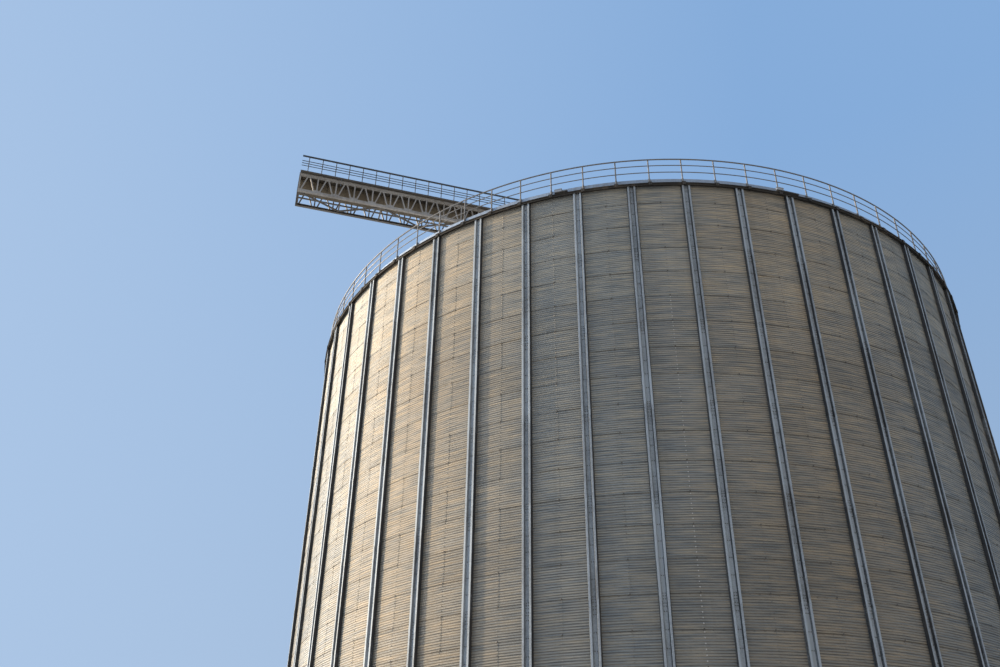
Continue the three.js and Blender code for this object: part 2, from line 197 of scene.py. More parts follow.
def box(shape, low, high):
    shape.add(box_corners(low, high), BOX_FACES)


def boxes(shape, angles, low, high, tone=0.5):
    """A box given in out, side and up, repeated at each angle round the silo."""
    shape.add_copies(turned(box_corners(low, high), angles), BOX_FACES, tone)


def band_faces(rows, columns, around_rows=False):
    """Quads of a grid of rows x columns; around_rows joins the last row to the first."""
    steps = rows if around_rows else rows - 1
    i = np.arange(steps)[:, None]
    j = np.arange(columns - 1)[None]
    a = i * columns + j
    b = (i + 1) % rows * columns + j
    return np.stack([a, a + 1, b + 1, b], axis=-1).reshape(-1, 4)


def arc_sweep(shape, section, angles, closed=True, caps=True):
    """Section of [radius, z] points carried round the axis through the angles, its faces outward."""
    section = np.asarray(section, float)
    after = np.roll(section, -1, axis=0)
    if closed and (section[:, 0] * after[:, 1] - section[:, 1] * after[:, 0]).sum() > 0:
        section = section[::-1]
    rows, columns = len(section), len(angles)
    first = np.arange(rows) * columns + shape.count
    shape.add(spot(section[:, :1], angles, section[:, 1:]), band_faces(rows, columns, closed)[:, ::-1])
    if closed and caps:
        shape.faces.setdefault(rows, []).append(np.array([first[::-1], first + columns - 1]))


def circle(radius, sides):
    turn = np.arange(sides) * 2 * math.pi / sides
    return np.stack([np.cos(turn), np.sin(turn)], axis=-1) * radius


def square_to(along):
    """Two directions square to each given one and to each other."""
    helper = np.where(np.abs(along[:, 2:]) > 0.9, [[1.0, 0, 0]], [[0, 0, 1.0]])
    side = unit(np.cross(helper, along))
    return side, np.cross(along, side)


def bars(shape, starts, ends, outline, across=None):
    """Bars of one outline between pairs of points; across, if given, is the outline's first direction."""
    starts = np.atleast_2d(np.asarray(starts, float))
    ends = np.atleast_2d(np.asarray(ends, float))
    outline = np.asarray(outline, float)
    along = unit(ends - starts)
    if across is None:
        side, lift = square_to(along)
    else:
        lift = unit(np.cross(along, np.broadcast_to(np.asarray(across, float), along.shape)))
        side = np.cross(lift, along)
    offset = side[:, None] * outline[None, :, :1] + lift[:, None] * outline[None, :, 1:]
    shape.add_prisms(np.concatenate([starts[:, None] + offset, ends[:, None] + offset], axis=1))


def rods(shape, starts, ends, radius, sides=8):
    """Round rods between pairs of points."""
    bars(shape, starts, ends, circle(radius, sides))


def bolt_heads(shape, centres, facing, radius, height, sides=6, flat=False):
    """Domed or flat heads that stand on a surface."""
    centres = np.atleast_2d(np.asarray(centres, float))
    facing = unit(np.broadcast_to(np.asarray(facing, float), centres.shape))
    side, lift = square_to(facing)
    ring = circle(radius, sides)
    foot = centres[:, None] + side[:, None] * ring[None, :, :1] + lift[:, None] * ring[None, :, 1:]
    if flat:
        top = foot + facing[:, None] * height
        shape.add_prisms(np.concatenate([foot, top], axis=1), both_ends=False)
        return
    here = np.arange(sides)
    tip = (centres + facing * height)[:, None]
    shape.add_copies(np.concatenate([foot, tip], axis=1),
                     np.stack([here, (here + 1) % sides, np.full(sides, sides)], axis=-1))


# Materials


class Patterns:
    """Nodes of a material or of the world, joined by a few plain steps."""

    def __init__(self, tree, coordinates):
        self.tree = tree
        self.place = tree.nodes.new("ShaderNodeTexCoord").outputs[coordinates]

    def join(self, value, socket):
        """Links a pattern to a socket or sets a constant on it; a constant colour has three parts."""
        if isinstance(value, bpy.types.NodeSocket):
            self.tree.links.new(value, socket)
        elif socket.type == "RGBA":
            socket.default_value = (*value, 1.0)
        else:
            socket.default_value = value

    def node(self, kind, inputs, **settings):
        node = self.tree.nodes.new(kind)
        for key, value in settings.items():
            setattr(node, key, value)
        for key, value in inputs.items():
            self.join(value, node.inputs[key])
        return node

    def math(self, operation, a, b=0.0, c=0.0):
        return self.node("ShaderNodeMath", {0: a, 1: b, 2: c}, operation=operation).outputs[0]

    def times(self, a, b):
        return self.math("MULTIPLY", a, b)

    def vector(self, x, y, z):
        return self.node("ShaderNodeCombineXYZ", {0: x, 1: y, 2: z}).outputs[0]

    def place_math(self, operation, other):
        return self.node("ShaderNodeVectorMath", {0: self.place, 1: other}, operation=operation)

    def scaled(self, x, y, z):
        """The coordinates, each with its own scale."""
        return self.place_math("MULTIPLY", (x, y, z)).outputs[0]

    def towards(self, direction):
        """How far the coordinates lie towards a direction."""
        return self.place_math("DOT_PRODUCT", direction).outputs["Value"]

    def noise(self, scale, detail=2.0, rough=0.5, where=None):
        inputs = {"Vector": where or self.place, "Scale": scale, "Detail": detail, "Roughness": rough}
        return self.node("ShaderNodeTexNoise", inputs).outputs["Fac"]

    def spangle(self, scale):
        node = self.node("ShaderNodeTexVoronoi", {"Vector": self.place, "Scale": scale})
        return self.node("ShaderNodeSeparateColor", {0: node.outputs["Color"]}).outputs[0]

    def span(self, value, low, high, to_low=0.0, to_high=1.0):
        """The part of a pattern from low to high, stretched to another range and held at its ends."""
        inputs = {"Value": value, "From Min": low, "From Max": high, "To Min": to_low, "To Max": to_high}
        return self.node("ShaderNodeMapRange", inputs, clamp=True).outputs["Result"]

    def mixed(self, *parts):
        """Patterns about a half, each with its weight, added up about a half."""
        total = 0.5
        for pattern, weight in parts:
            total = self.math("ADD", total, self.math("MULTIPLY_ADD", pattern, weight, -weight / 2))
        return total

    def blend(self, share, a, b, mode="MIX"):
        node = self.node("ShaderNodeMix", {}, data_type="RGBA", blend_type=mode)
        self.join(share, node.inputs["Factor"])
        self.join(a, node.inputs["A"])
        self.join(b, node.inputs["B"])
        return node.outputs["Result"]

    def tinted(self, colour, share, low, high):
        """A colour times a tint that goes from low to high."""
        return self.blend(1.0, colour, self.blend(share, low, high), "MULTIPLY")


class Paint(Patterns):
    """A material built in the object's own coordinates."""

    def __init__(self, name, metallic, specular=0.5):
        self.material = bpy.data.materials.new(name)
        self.material.use_nodes = True
        super().__init__(self.material.node_tree, "Object")
        self.shader = self.tree.nodes["Principled BSDF"]
        self.shader.inputs["Metallic"].default_value = metallic
        self.shader.inputs["Specular IOR Level"].default_value = specular

    def tone(self):
        """The tone of the shape's points, which on the uprights is painted shade."""
        return self.node("ShaderNodeAttribute", {}, attribute_name="chance").outputs["Fac"]

    def round_axis(self):
        """Angle round the axis and height."""
        x, y, z = self.node("ShaderNodeSeparateXYZ", {0: self.place}).outputs
        return self.math("ARCTAN2", y, x), z

    def finish(self, colour, rough, relief=None, strength=0.2, distance=0.002):
        self.join(colour, self.shader.inputs["Base Color"])
        self.join(rough, self.shader.inputs["Roughness"])
        if relief is not None:
            bump = self.node("ShaderNodeBump", {"Height": relief, "Strength": strength, "Distance": distance})
            self.join(bump.outputs[0], self.shader.inputs["Normal"])
        return self.material


GRIME = (0.17, 0.13, 0.09)
SHEET_DARK = (0.128, 0.128, 0.12)
SHEET_LIGHT = (0.53, 0.518, 0.478)
# Colour the wall darkens towards, near its bottom
SHEET_LOWER_DARK = (0.10, 0.094, 0.084)
SHEET_STREAK = (0.17, 0.14, 0.10)
# Colour of the dark bands under each crest and each lap: painted shade, with some dirt
SHEET_DIRT_AND_SHADE = (0.05, 0.043, 0.034)
DARKENING_HEIGHTS = (7.0, 15.5)
LIGHTER_ABOVE = EAVE - TOP_RING - RING * 4
CONCRETE_DARK = (0.30, 0.285, 0.26)
CONCRETE_LIGHT = (0.56, 0.54, 0.50)
CONCRETE_DAMP = (0.16, 0.145, 0.125)


def zinc(name, dark, light, metallic, rough, dirt_and_shade, spread=0.3):
    """Galvanised steel: spangle, slow cloudiness, streaks and dirt; spread weighs the points' tone, which on
    the uprights is painted shade.
    """
    paint = Paint(name, metallic)
    cloud = paint.noise(0.9, 4.0, 0.6)
    fine = paint.noise(14.0, 3.0, 0.6)
    tone = paint.mixed((cloud, 0.55), (fine, 0.25), (paint.spangle(70.0), 0.2), (paint.tone(), spread))
    colour = paint.blend(paint.span(tone, 0.25, 0.75), dark, light)
    streak = paint.noise(3.0, 4.0, 0.6, paint.scaled(2.2, 2.2, 0.12))
    grime = paint.span(paint.times(streak, paint.noise(0.5, 3.0)), 0.24, 0.42, 0.0, dirt_and_shade)
    roughness = paint.span(paint.math("ADD", fine, grime), 0.3, 1.0, *rough)
    return paint.finish(paint.blend(grime, colour, GRIME), roughness, fine, 0.12, 0.001)


def wall_material():
    """Weathered corrugated sheet: a tone for every wave, short streaks, dark bands under the crests and at
    the laps that are painted shade with some dirt, and a painted light tint round the silo.
    """
    paint = Paint("wall_sheet_metal", 0.3)
    noise, span, blend, times = paint.noise, paint.span, paint.blend, paint.times
    angle, height = paint.round_axis()
    arc = times(angle, RADIUS)
    rise = paint.math("SUBTRACT", height, LOWEST_SEAM)
    waves = times(rise, 1 / PITCH)
    rings = times(rise, 1 / RING)
    per_wave = noise(1.0, 3.0, 0.65, paint.vector(arc, 3.0, times(waves, 1.25)))
    blotch = noise(1.0, 3.0, 0.6, paint.vector(times(arc, 0.6), 9.0, times(height, 2.6)))
    ring = times(paint.math("FLOOR", rings), 3.7)
    per_ring = noise(1.0, 1.0, 0.5, paint.vector(times(arc, 0.12), 21.0, ring))
    cloud = noise(0.25, 4.0, 0.6)
    fine = noise(16.0, 4.0, 0.6)
    upper = span(height, LIGHTER_ABOVE - 0.01, LIGHTER_ABOVE + 0.01)

    tone = paint.mixed((paint.tone(), 0.08), (cloud, 0.3), (per_ring, 0.4), (per_wave, 1.3), (blotch, 0.32))
    colour = blend(span(tone, 0.0, 1.0), SHEET_DARK, SHEET_LIGHT)
    warm = span(paint.mixed((per_wave, 0.7), (blotch, 0.3)), 0.4, 0.6)
    colour = paint.tinted(colour, warm, (0.885, 0.97, 1.045), (1.045, 0.955, 0.81))
    # Painted light: a warm and blue tint that repeats seven times round the silo, warm on the bays in view
    # where lamp light and warm reflected light fall, blue where sky-lit shade lies
    painted_light_tint = span(paint.math("SINE", paint.math("MULTIPLY_ADD", angle, 7.0, 0.276)), -1.0, 1.0)
    colour = paint.tinted(colour, painted_light_tint, (0.95, 0.985, 1.03), (1.07, 0.975, 0.88))
    colour = paint.tinted(colour, upper, (0.96, 0.96, 0.96), (1.08, 1.07, 1.05))

    # Darker towards the bottom: more and more from 15.5 m down to 7 m
    darker_below = span(height, *DARKENING_HEIGHTS, 0.34, 0.0)
    colour = blend(darker_below, colour, SHEET_LOWER_DARK)
    streak = noise(2.6, 5.0, 0.62, paint.scaled(1.6, 1.6, 0.05))
    colour = blend(span(streak, 0.52, 0.7, 0.0, 0.14), colour, SHEET_STREAK)
    # Painted shade under each crest, on the wave's down-facing slope, with some dirt; less in the upper rings
    under = paint.math("SINE", paint.math("MULTIPLY_ADD", waves, 2 * math.pi, math.pi + 0.6))
    heavy = times(span(per_wave, 0.58, 0.42, 0.45, 0.85), span(upper, 0.0, 1.0, 1.0, 0.7))
    dirt_and_shade = times(span(under, 0.1, 0.9, 0.0, 0.8), heavy)
    # Painted shade just under each lap's step, with some dirt in the joint
    lap_dirt_and_shade = times(span(paint.math("FRACT", rings), 0.955, 0.975, 0.0, 0.72), span(blotch, 0.36, 0.56))
    colour = blend(paint.math("MAXIMUM", dirt_and_shade, lap_dirt_and_shade), colour, SHEET_DIRT_AND_SHADE)

    roughness = span(paint.mixed((fine, 0.5), (blotch, 0.5)), 0.3, 0.7, 0.55, 0.7)
    return paint.finish(colour, roughness, paint.mixed((blotch, 1.0), (fine, 0.06)), 0.4, 0.006)


def concrete_material():
    """Cast concrete: slow and fine cloudiness, and damp along the ground."""
    paint = Paint("cast_concrete", 0.0, 0.3)
    slow = paint.noise(1.3, 6.0, 0.65)
    fine = paint.noise(38.0, 5.0, 0.7)
    tone = paint.mixed((slow, 0.7), (fine, 0.3))
    colour = paint.blend(paint.span(tone, 0.3, 0.7), CONCRETE_DARK, CONCRETE_LIGHT)
    _, height = paint.round_axis()
    damp = paint.span(paint.math("MULTIPLY_ADD", slow, -0.12, height), -0.02, 0.06, 0.5, 0.0)
    colour = paint.blend(damp, colour, CONCRETE_DAMP)
    return paint.finish(colour, paint.span(fine, 0.3, 0.7, 0.8, 0.95), tone, 0.5, 0.004)


# Each steel has its dark and light colour, how metallic it is, its least and most roughness, and its dirt
WALL = wall_material()
# The uprights' steel takes much of its dark and light from the points' tones, which are painted shade in the
# folds
STEEL = zinc("upright_zinc", (0.045, 0.047, 0.05), (0.405, 0.455, 0.495), 0.3, (0.68, 0.82), 0.2, spread=0.8)
ROOF = zinc("roof_zinc", (0.30, 0.31, 0.32), (0.50, 0.51, 0.52), 0.65, (0.34, 0.5), 0.3)
# Near black: rust, and painted shade under the roof's edge
EAVE_TRIM_RUST_AND_SHADE = zinc("eave_trim_rusty_shaded", (0.012, 0.010, 0.008), (0.04, 0.034, 0.026), 0.0, (0.75, 0.9), 0.4)
RAIL = zinc("railing_zinc", (0.11, 0.105, 0.10), (0.26, 0.25, 0.235), 0.4, (0.4, 0.6), 0.3)
# The toe board's bluish colours are a painted reflection of the sky
BOARD = zinc("toe_board_zinc", (0.20, 0.25, 0.32), (0.42, 0.50, 0.60), 0.4, (0.5, 0.65), 0.3)
GALLERY = zinc("gallery_zinc", (0.25, 0.24, 0.225), (0.48, 0.46, 0.43), 0.35, (0.42, 0.62), 0.5)
# A darker copy of the gallery's steel, with a little more dirt: painted shade for the far truss, the bracing
# and the end frame
GALLERY_SHADED = zinc("gallery_zinc_shaded", (0.10, 0.09, 0.078), (0.26, 0.24, 0.215), 0.3, (0.45, 0.65), 0.6)
GUARD = zinc("guard_steel", (0.035, 0.038, 0.042), (0.10, 0.105, 0.11), 0.3, (0.5, 0.7), 0.3)
CONVEYOR = zinc("conveyor_sheet", (0.13, 0.105, 0.07), (0.30, 0.25, 0.18), 0.2, (0.5, 0.7), 0.5)
# Dark brown deck plates: painted shade for the deck's underside, seen from below
PLATE = zinc("deck_plate", (0.05, 0.042, 0.034), (0.13, 0.112, 0.09), 0.3, (0.5, 0.75), 0.5)
HOUSING = zinc("conveyor_housing", (0.30, 0.31, 0.32), (0.48, 0.49, 0.50), 0.6, (0.36, 0.55), 0.35)
BOLT = zinc("bolt_zinc", (0.14, 0.14, 0.14), (0.34, 0.33, 0.32), 0.6, (0.4, 0.6), 0.5)
PALE_BOLT = zinc("washer_pale", (0.42, 0.41, 0.39), (0.62, 0.60, 0.57), 0.1, (0.5, 0.7), 0.2)
DARK_BOLT = zinc("washer_rubber", (0.045, 0.042, 0.038), (0.15, 0.138, 0.122), 0.2, (0.5, 0.7), 0.3)
CONCRETE = concrete_material()

# Wall sheets

STEPS_PER_WAVE = 6
WAVE_DEPTH = 0.0125
RING_LAP = 0.004
SIDE_LAP = 0.0025
LAP_WIDTH = 0.05 / RADIUS
LEVELS = [FOOT] + [LOWEST_SEAM + RING * i for i in range(RINGS - 1)] + [EAVE]
SHEET_BAYS = 2
SHEET_COLUMNS = np.array([[0, 0.25, 0.5, 0.75, 1.0, 1.0]])
SHEET_SEED = 7
LAP_BOLTS_PER_BAY = 7
LAP_BOLT = (0.010, 0.009)
CORNER_BOLT = (0.022, 0.012)
SEAM_BOLT = (0.013, 0.010)
PALE_SEAM_BOLT = (0.017, 0.010)
PALE_BOLTS_AT = math.radians(251.25)


def waves_between(low, high):
    return round((high - low) / PITCH)


def sheet_radius(rise, across, waves):
    """Radius at a share of a sheet's height and width: laps outside at its foot and right edge."""
    wave = WAVE_DEPTH / 2 * (1 - np.cos(2 * math.pi * waves * rise))
    return RADIUS - SIDE_LAP - wave - RING_LAP * rise + SIDE_LAP * across


def sheet_normals(rise, angles, waves, height):
    """Exact normals of a sheet, so that no facet shows in low light."""
    turn = 2 * math.pi * waves
    slope = (WAVE_DEPTH / 2 * turn * np.sin(turn * rise) + RING_LAP) / height
    parts = np.broadcast_arrays(np.cos(angles), np.sin(angles), slope)
    return unit(np.stack(parts, axis=-1).reshape(-1, 3))


def wall_sheets():
    """Corrugated sheets two bays wide, set half a sheet aside from ring to ring."""
    random = np.random.default_rng(SHEET_SEED)
    for segment in range(SEGMENTS):
        shape = Shape()
        normals = []
        for ring, (low, high) in enumerate(zip(LEVELS, LEVELS[1:])):
            waves = waves_between(low, high)
            rise = np.linspace(0, 1, waves * STEPS_PER_WAVE + 1)[:, None]
            for sheet in range(SEGMENT_BAYS // SHEET_BAYS):
                start = segment * SEGMENT + (SHEET_BAYS * sheet + 0.5 + ring % 2) * BAY
                angles = start + SHEET_COLUMNS * SHEET_BAYS * BAY
                angles[:, -1] += LAP_WIDTH
                radius = sheet_radius(rise, SHEET_COLUMNS, waves)
                shape.add(spot(radius, angles, low + (high - low) * rise),
                          band_faces(len(rise), SHEET_COLUMNS.size), random.random())
                normals.append(sheet_normals(rise, angles, waves, high - low))
        piece = shape.make(f"wall_sheets_{segment + 1}", WALL, "wall_sheet",
                           [f"wall_{segment + 1}"], sharp=80)
        piece.data.normals_split_custom_set_from_vertices(np.concatenate(normals).tolist())


def wall_bolts():
    """Bolts along each ring's lap and down each bay's middle, and a larger one where four sheets meet."""
    pale_seam = Shape()
    lap_face = RADIUS - SIDE_LAP - RING_LAP
    for segment in range(SEGMENTS):
        laps, seams = Shape(), Shape()
        first = segment * SEGMENT
        steps = (np.arange(SEGMENT_BAYS * LAP_BOLTS_PER_BAY) + 0.5) / LAP_BOLTS_PER_BAY * BAY + first
        middles = first + (np.arange(SEGMENT_BAYS) + 0.5) * BAY + LAP_WIDTH / 2
        for level in LEVELS[1:-1]:
            bolt_heads(laps, spot(lap_face, steps, level - PITCH / 2), outward(steps), *LAP_BOLT)
            bolt_heads(laps, spot(RADIUS - 0.001, middles, level), outward(middles), *CORNER_BOLT, sides=8)
        for low, high in zip(LEVELS, LEVELS[1:]):
            waves = waves_between(low, high)
            for wave in range(2, waves, 2):
                z = low + (high - low) * wave / waves
                face = RADIUS - RING_LAP * wave / waves
                pale = (np.abs(middles - PALE_BOLTS_AT) < BAY / 2) & (z < LIGHTER_ABOVE)
                for row, where, size in ((seams, ~pale, SEAM_BOLT), (pale_seam, pale, PALE_SEAM_BOLT)):
                    if where.any():
                        bolt_heads(row, spot(face, middles[where], z), outward(middles[where]), *size)
        laps.make(f"wall_bolts_{segment + 1}", DARK_BOLT, "wall_sheet")
        seams.make(f"seam_bolts_{segment + 1}", BOLT, "wall_sheet")
    pale_seam.make("wall_bolts_pale", PALE_BOLT, "wall_sheet")


# Uprights with their foot angle, eave angle, splices and anchors

RIDGE = 0.085
VALLEY = 0.018
HALF_SECTION = [(0.140, 0.0), (0.140, 0.004), (0.128, 0.006), (0.122, 0.080), (0.117, RIDGE), (0.070, RIDGE),
                (0.065, 0.080), (0.056, 0.022), (0.051, VALLEY), (0.043, VALLEY)]
SECTION = [(-side, out) for side, out in HALF_SECTION] + HALF_SECTION[::-1]
# Tone at each point of the section: painted shade, dark on the webs, the flanks and the valley's right edge,
# light on the ridge tops
SECTION_SHADE_TONES = [0.1, 0.3, 0.05, 0.15, 0.8, 0.8, 0.6, 0.6, 0.6, 0.75,
                 0.75, 0.2, 0.2, 0.4, 0.75, 0.75, 0.15, 0.02, 0.1, 0.1]
UPRIGHT_SEED = 11
TONE_CHANGE = 0.12
FACE = RADIUS + SEAM
VALLEY_FACE = FACE + VALLEY
RIDGE_FACE = FACE + RIDGE
RINGS_PER_LENGTH = 3
LENGTH = RING * RINGS_PER_LENGTH
LENGTHS = RINGS // RINGS_PER_LENGTH
JOINTS = [FOOT + LENGTH * i for i in range(1, LENGTHS)]
JOINT = 0.008
TOP_GAP = 0.012
SPLICE = 0.006
SPLICE_HALF = 0.044
SPLICE_REACH = 0.16
CAP = 0.004
CAP_FROM = 0.068
CAP_TO = 0.119
CAP_REACH = 0.09
FOOT_ANGLE = 0.15
EAVE_ANGLE = 0.06
ANGLE_OUTER = RADIUS + 0.112
ANGLE_PLATE = 0.01
GUSSET_FROM = 0.158
GUSSET_TO = 0.17
GUSSET_TOP = FOOT + 0.13
UPRIGHT_BOLT = (0.013, 0.011)
BOLT_SIDES = (-0.025, 0.025)
BOLT_RISES = (0.22, 0.72)
SPLICE_BOLT_RISES = (-0.12, -0.05, 0.05, 0.12)
ANCHOR_OUT = RADIUS + 0.065
ANCHOR_SIDES = (-0.21, 0.21)
ANCHOR_NUT = (0.02, 0.03)
ANCHOR_ROD = 0.011
ANCHOR_HEIGHT = 0.07


def upright_lengths(shape, angles):
    """Folded lengths of each upright, end on end with a narrow joint."""
    outline = np.array([[FACE + out, side] for side, out in SECTION])
    # Painted shade from the section's tones, with a random change for each length
    tones = np.array(SECTION_SHADE_TONES * 2)
    random = np.random.default_rng(UPRIGHT_SEED)
    for i in range(LENGTHS):
        foot = FOOT + LENGTH * i + JOINT / 2
        low = max(foot, FOOT + FOOT_ANGLE / 2)
        high = min(foot + LENGTH - JOINT, EAVE - TOP_GAP)
        corners = np.concatenate([np.c_[outline, np.full(len(outline), z)] for z in (low, high)])
        for angle in angles:
            shape.add_prisms(turned(corners, angle), tones + random.uniform(-TONE_CHANGE, TONE_CHANGE))


def upright_splices(shape, angles):
    """Plates over each joint, one in the valley and one on each ridge."""
    for z in JOINTS:
        boxes(shape, angles, (VALLEY_FACE, -SPLICE_HALF, z - SPLICE_REACH),
                     (VALLEY_FACE + SPLICE, SPLICE_HALF, z + SPLICE_REACH), 0.7)
        for low, high in ((-CAP_TO, -CAP_FROM), (CAP_FROM, CAP_TO)):
            boxes(shape, angles, (RIDGE_FACE - 0.002, low, z - CAP_REACH),
                         (RIDGE_FACE + CAP, high, z + CAP_REACH), 0.75)


def upright_ties(shape, segment, angles):
    """The foot angle with its gussets, and the eave angle, which is a piece of its own, near black for rust
    and painted shade under the roof's edge.
    """
    span = np.linspace(-0.5, SEGMENT_BAYS - 0.5, 4 * SEGMENT_BAYS + 1) * BAY + segment * SEGMENT
    plate_top = FOOT + ANGLE_PLATE
    arc_sweep(shape, [(FACE, FOOT), (ANGLE_OUTER, FOOT), (ANGLE_OUTER, plate_top),
                      (FACE + ANGLE_PLATE, plate_top), (FACE + ANGLE_PLATE, FOOT + FOOT_ANGLE),
                      (FACE, FOOT + FOOT_ANGLE)], span)
    for low, high in ((-GUSSET_TO, -GUSSET_FROM), (GUSSET_FROM, GUSSET_TO)):
        boxes(shape, angles, (FACE, low, plate_top), (ANGLE_OUTER - 0.004, high, GUSSET_TOP))
    trim = Shape()
    plate_foot, lip = EAVE - ANGLE_PLATE, EAVE - EAVE_ANGLE
    arc_sweep(trim, [(FACE, plate_foot), (FACE, EAVE), (ANGLE_OUTER, EAVE), (ANGLE_OUTER, lip),
                     (ANGLE_OUTER - ANGLE_PLATE, lip), (ANGLE_OUTER - ANGLE_PLATE, plate_foot)], span)
    trim.make(f"eave_angle_{segment + 1}", EAVE_TRIM_RUST_AND_SHADE, "stiffener_steel")


def upright_bolts(segment, angles):
    """Bolts down each valley and over each splice, and the anchors beside each foot."""
    bolts = Shape()
    rows = [(VALLEY_FACE, FOOT + RING * (ring + rise)) for ring in range(RINGS) for rise in BOLT_RISES]
    rows += [(VALLEY_FACE + SPLICE, z + rise) for z in JOINTS for rise in SPLICE_BOLT_RISES]
    for out, z in rows:
        for side in BOLT_SIDES:
            bolt_heads(bolts, placed(out, side, z, angles), outward(angles), *UPRIGHT_BOLT, flat=True)
    for side in ANCHOR_SIDES:
        centres = placed(ANCHOR_OUT, side, FOOT + ANGLE_PLATE, angles)
        bolt_heads(bolts, centres, UP, *ANCHOR_NUT, flat=True)
        rods(bolts, centres, centres + [0, 0, ANCHOR_HEIGHT], ANCHOR_ROD, 6)
    bolts.make(f"upright_bolts_{segment + 1}", DARK_BOLT, "stiffener_steel")


def uprights():
    for segment in range(SEGMENTS):
        shape = Shape()
        angles = segment * SEGMENT + np.arange(SEGMENT_BAYS) * BAY
        upright_lengths(shape, angles)
        upright_splices(shape, angles)
        upright_ties(shape, segment, angles)
        shape.make(f"uprights_{segment + 1}", STEEL, "stiffener_steel",
                   [f"stiffeners_{segment + 1}"], sharp=25)
        upright_bolts(segment, angles)


# Foundation

CHAMFER = 0.02


def foundation():
    shape = Shape()
    section = [(FOUNDATION_INNER, 0), (FOUNDATION_OUTER, 0), (FOUNDATION_OUTER, FOUNDATION - CHAMFER),
               (FOUNDATION_OUTER - CHAMFER, FOUNDATION), (FOUNDATION_INNER, FOUNDATION)]
    arc_sweep(shape, section, np.linspace(0, 2 * math.pi, 4 * BAYS + 1), caps=False)
    shape.make("foundation_beam", CONCRETE, "concrete", ["foundation_ring"])


# Roof

RIB_HEIGHT = 0.075
RIB_HALF = 0.035
RIB_FOOT = 0.055
RIB_OUTER = 12.1
RIB_INNER = 1.25
RIB_END = 0.03
ROOF_ROWS = np.linspace(11.6, 1.7, 23)
ROOF_LAPS = (3.6, 6.4, 9.3)
LAP_HALF = 0.03
LAP_LOW = 0.001
LAP_HIGH = 0.005
RIB_BOLT = (0.014, 0.009)
RIB_BOLT_ROWS = np.linspace(11.9, 1.6, 28)
ROOF_LAP_BOLT = (0.012, 0.008)


def roof_top(radius):
    return ROOF_BASE + (ROOF_BEND - radius) * math.tan(ROOF_PITCH) + ROOF_THICKNESS


def roof_cone(shape, start):
    """One sector of the cone, with a raised rib up the middle of each bay."""
    columns = []
    for bay in range(SEGMENT_BAYS):
        middle = (bay + 0.5) * BAY
        columns += [(bay * BAY, 0, 0), (middle, -RIB_FOOT, 0), (middle, -RIB_HALF, 1), (middle, RIB_HALF, 1),
                    (middle, RIB_FOOT, 0)]
    columns.append((SEGMENT_BAYS * BAY, 0, 0))
    radii = [ROOF_LIP, ROOF_BEND, RIB_OUTER + RIB_END, RIB_OUTER, *ROOF_ROWS,
             RIB_INNER, RIB_INNER - RIB_END, COLLAR]
    points = []
    for radius in radii:
        ribbed = RIB_INNER <= radius <= RIB_OUTER
        base = ROOF_BASE + ROOF_THICKNESS if radius > ROOF_BEND else roof_top(radius)
        for angle, side, raised in columns:
            z = base + (RIB_HEIGHT if raised and ribbed else 0)
            points.append(spot(radius, start + angle + side / radius, z)[0])
    shape.add(points, band_faces(len(radii), len(columns)))


def roof_bolts(segment, start):
    """Bolts along each rib and across the sheets' laps."""
    bolts = Shape()
    ribs = start + (np.arange(SEGMENT_BAYS) + 0.5) * BAY
    lean = (math.sin(ROOF_PITCH), 0, math.cos(ROOF_PITCH))
    for radius in RIB_BOLT_ROWS:
        centres = placed(radius, 0, roof_top(radius) + RIB_HEIGHT, ribs)
        bolt_heads(bolts, centres, placed(*lean, ribs), *RIB_BOLT)
    for radius in ROOF_LAPS:
        steps = start + np.linspace(0.1, SEGMENT_BAYS - 0.1, int(SEGMENT_BAYS * radius)) * BAY
        centres = spot(radius, steps, roof_top(radius) + LAP_HIGH)
        bolt_heads(bolts, centres, placed(*lean, steps), *ROOF_LAP_BOLT)
    bolts.make(f"roof_bolts_{segment + 1}", BOLT, "roof_sheet")


def roof_sheets():
    """Sectors of the cone with their outer edge, near black for rust and painted shade under the eave, laps
    across the slope, and bolts.
    """
    for segment in range(SEGMENTS):
        start = segment * SEGMENT
        span = np.linspace(0, SEGMENT, 6 * SEGMENT_BAYS + 1) + start
        shape, edge = Shape(), Shape()
        roof_cone(shape, start)
        arc_sweep(edge, [(ROOF_LIP, ROOF_BASE + ROOF_THICKNESS), (ROOF_LIP, ROOF_BASE),
                         (RADIUS + 0.001, ROOF_BASE)], span, closed=False)
        edge.make(f"roof_edge_{segment + 1}", EAVE_TRIM_RUST_AND_SHADE, "roof_sheet")
        for radius in ROOF_LAPS:
            low, high = radius - LAP_HALF, radius + LAP_HALF
            arc_sweep(shape, [(low, roof_top(low) + LAP_LOW), (low, roof_top(low) + LAP_HIGH),
                              (high, roof_top(high) + LAP_HIGH), (high, roof_top(high) + LAP_LOW)], span)
        shape.make(f"roof_sheets_{segment + 1}", ROOF, "roof_sheet", [f"roof_{segment + 1}"], sharp=20)
        roof_bolts(segment, start)


# Railing round the eave

RAIL_RADIUS = 12.27
POSTS_PER_SEGMENT = 13
TUBE = 0.021
THIN_TUBE = 0.014
RAILING_TOP = EAVE + 1.083
TOP_RAIL = RAILING_TOP - TUBE
MIDDLE_RAILS = (EAVE + 0.534, EAVE + 0.809)
TOE_BOARD = (EAVE + 0.118, EAVE + 0.281)
BOARD_INNER = RAIL_RADIUS - TUBE - 0.010
BOARD_PLATE = 0.004
BOARD_GAP = 0.0004
CLIP_HALF = 0.03
LIP_TOP = ROOF_BASE + ROOF_THICKNESS + SEAM
RAIL_START = -0.19 * BAY
LADDER_ANGLE = BAY * 45.5
LADDER_GAP = 0.45 / RAIL_RADIUS
BASE_HALF = 0.07
BASE_PLATE = 0.010
BRACKET_HALF = 0.055
BRACKET_FOOT = EAVE - 0.07
BRACKET_PLATE = 0.006
BRACKET_TOP = LIP_TOP + 0.03
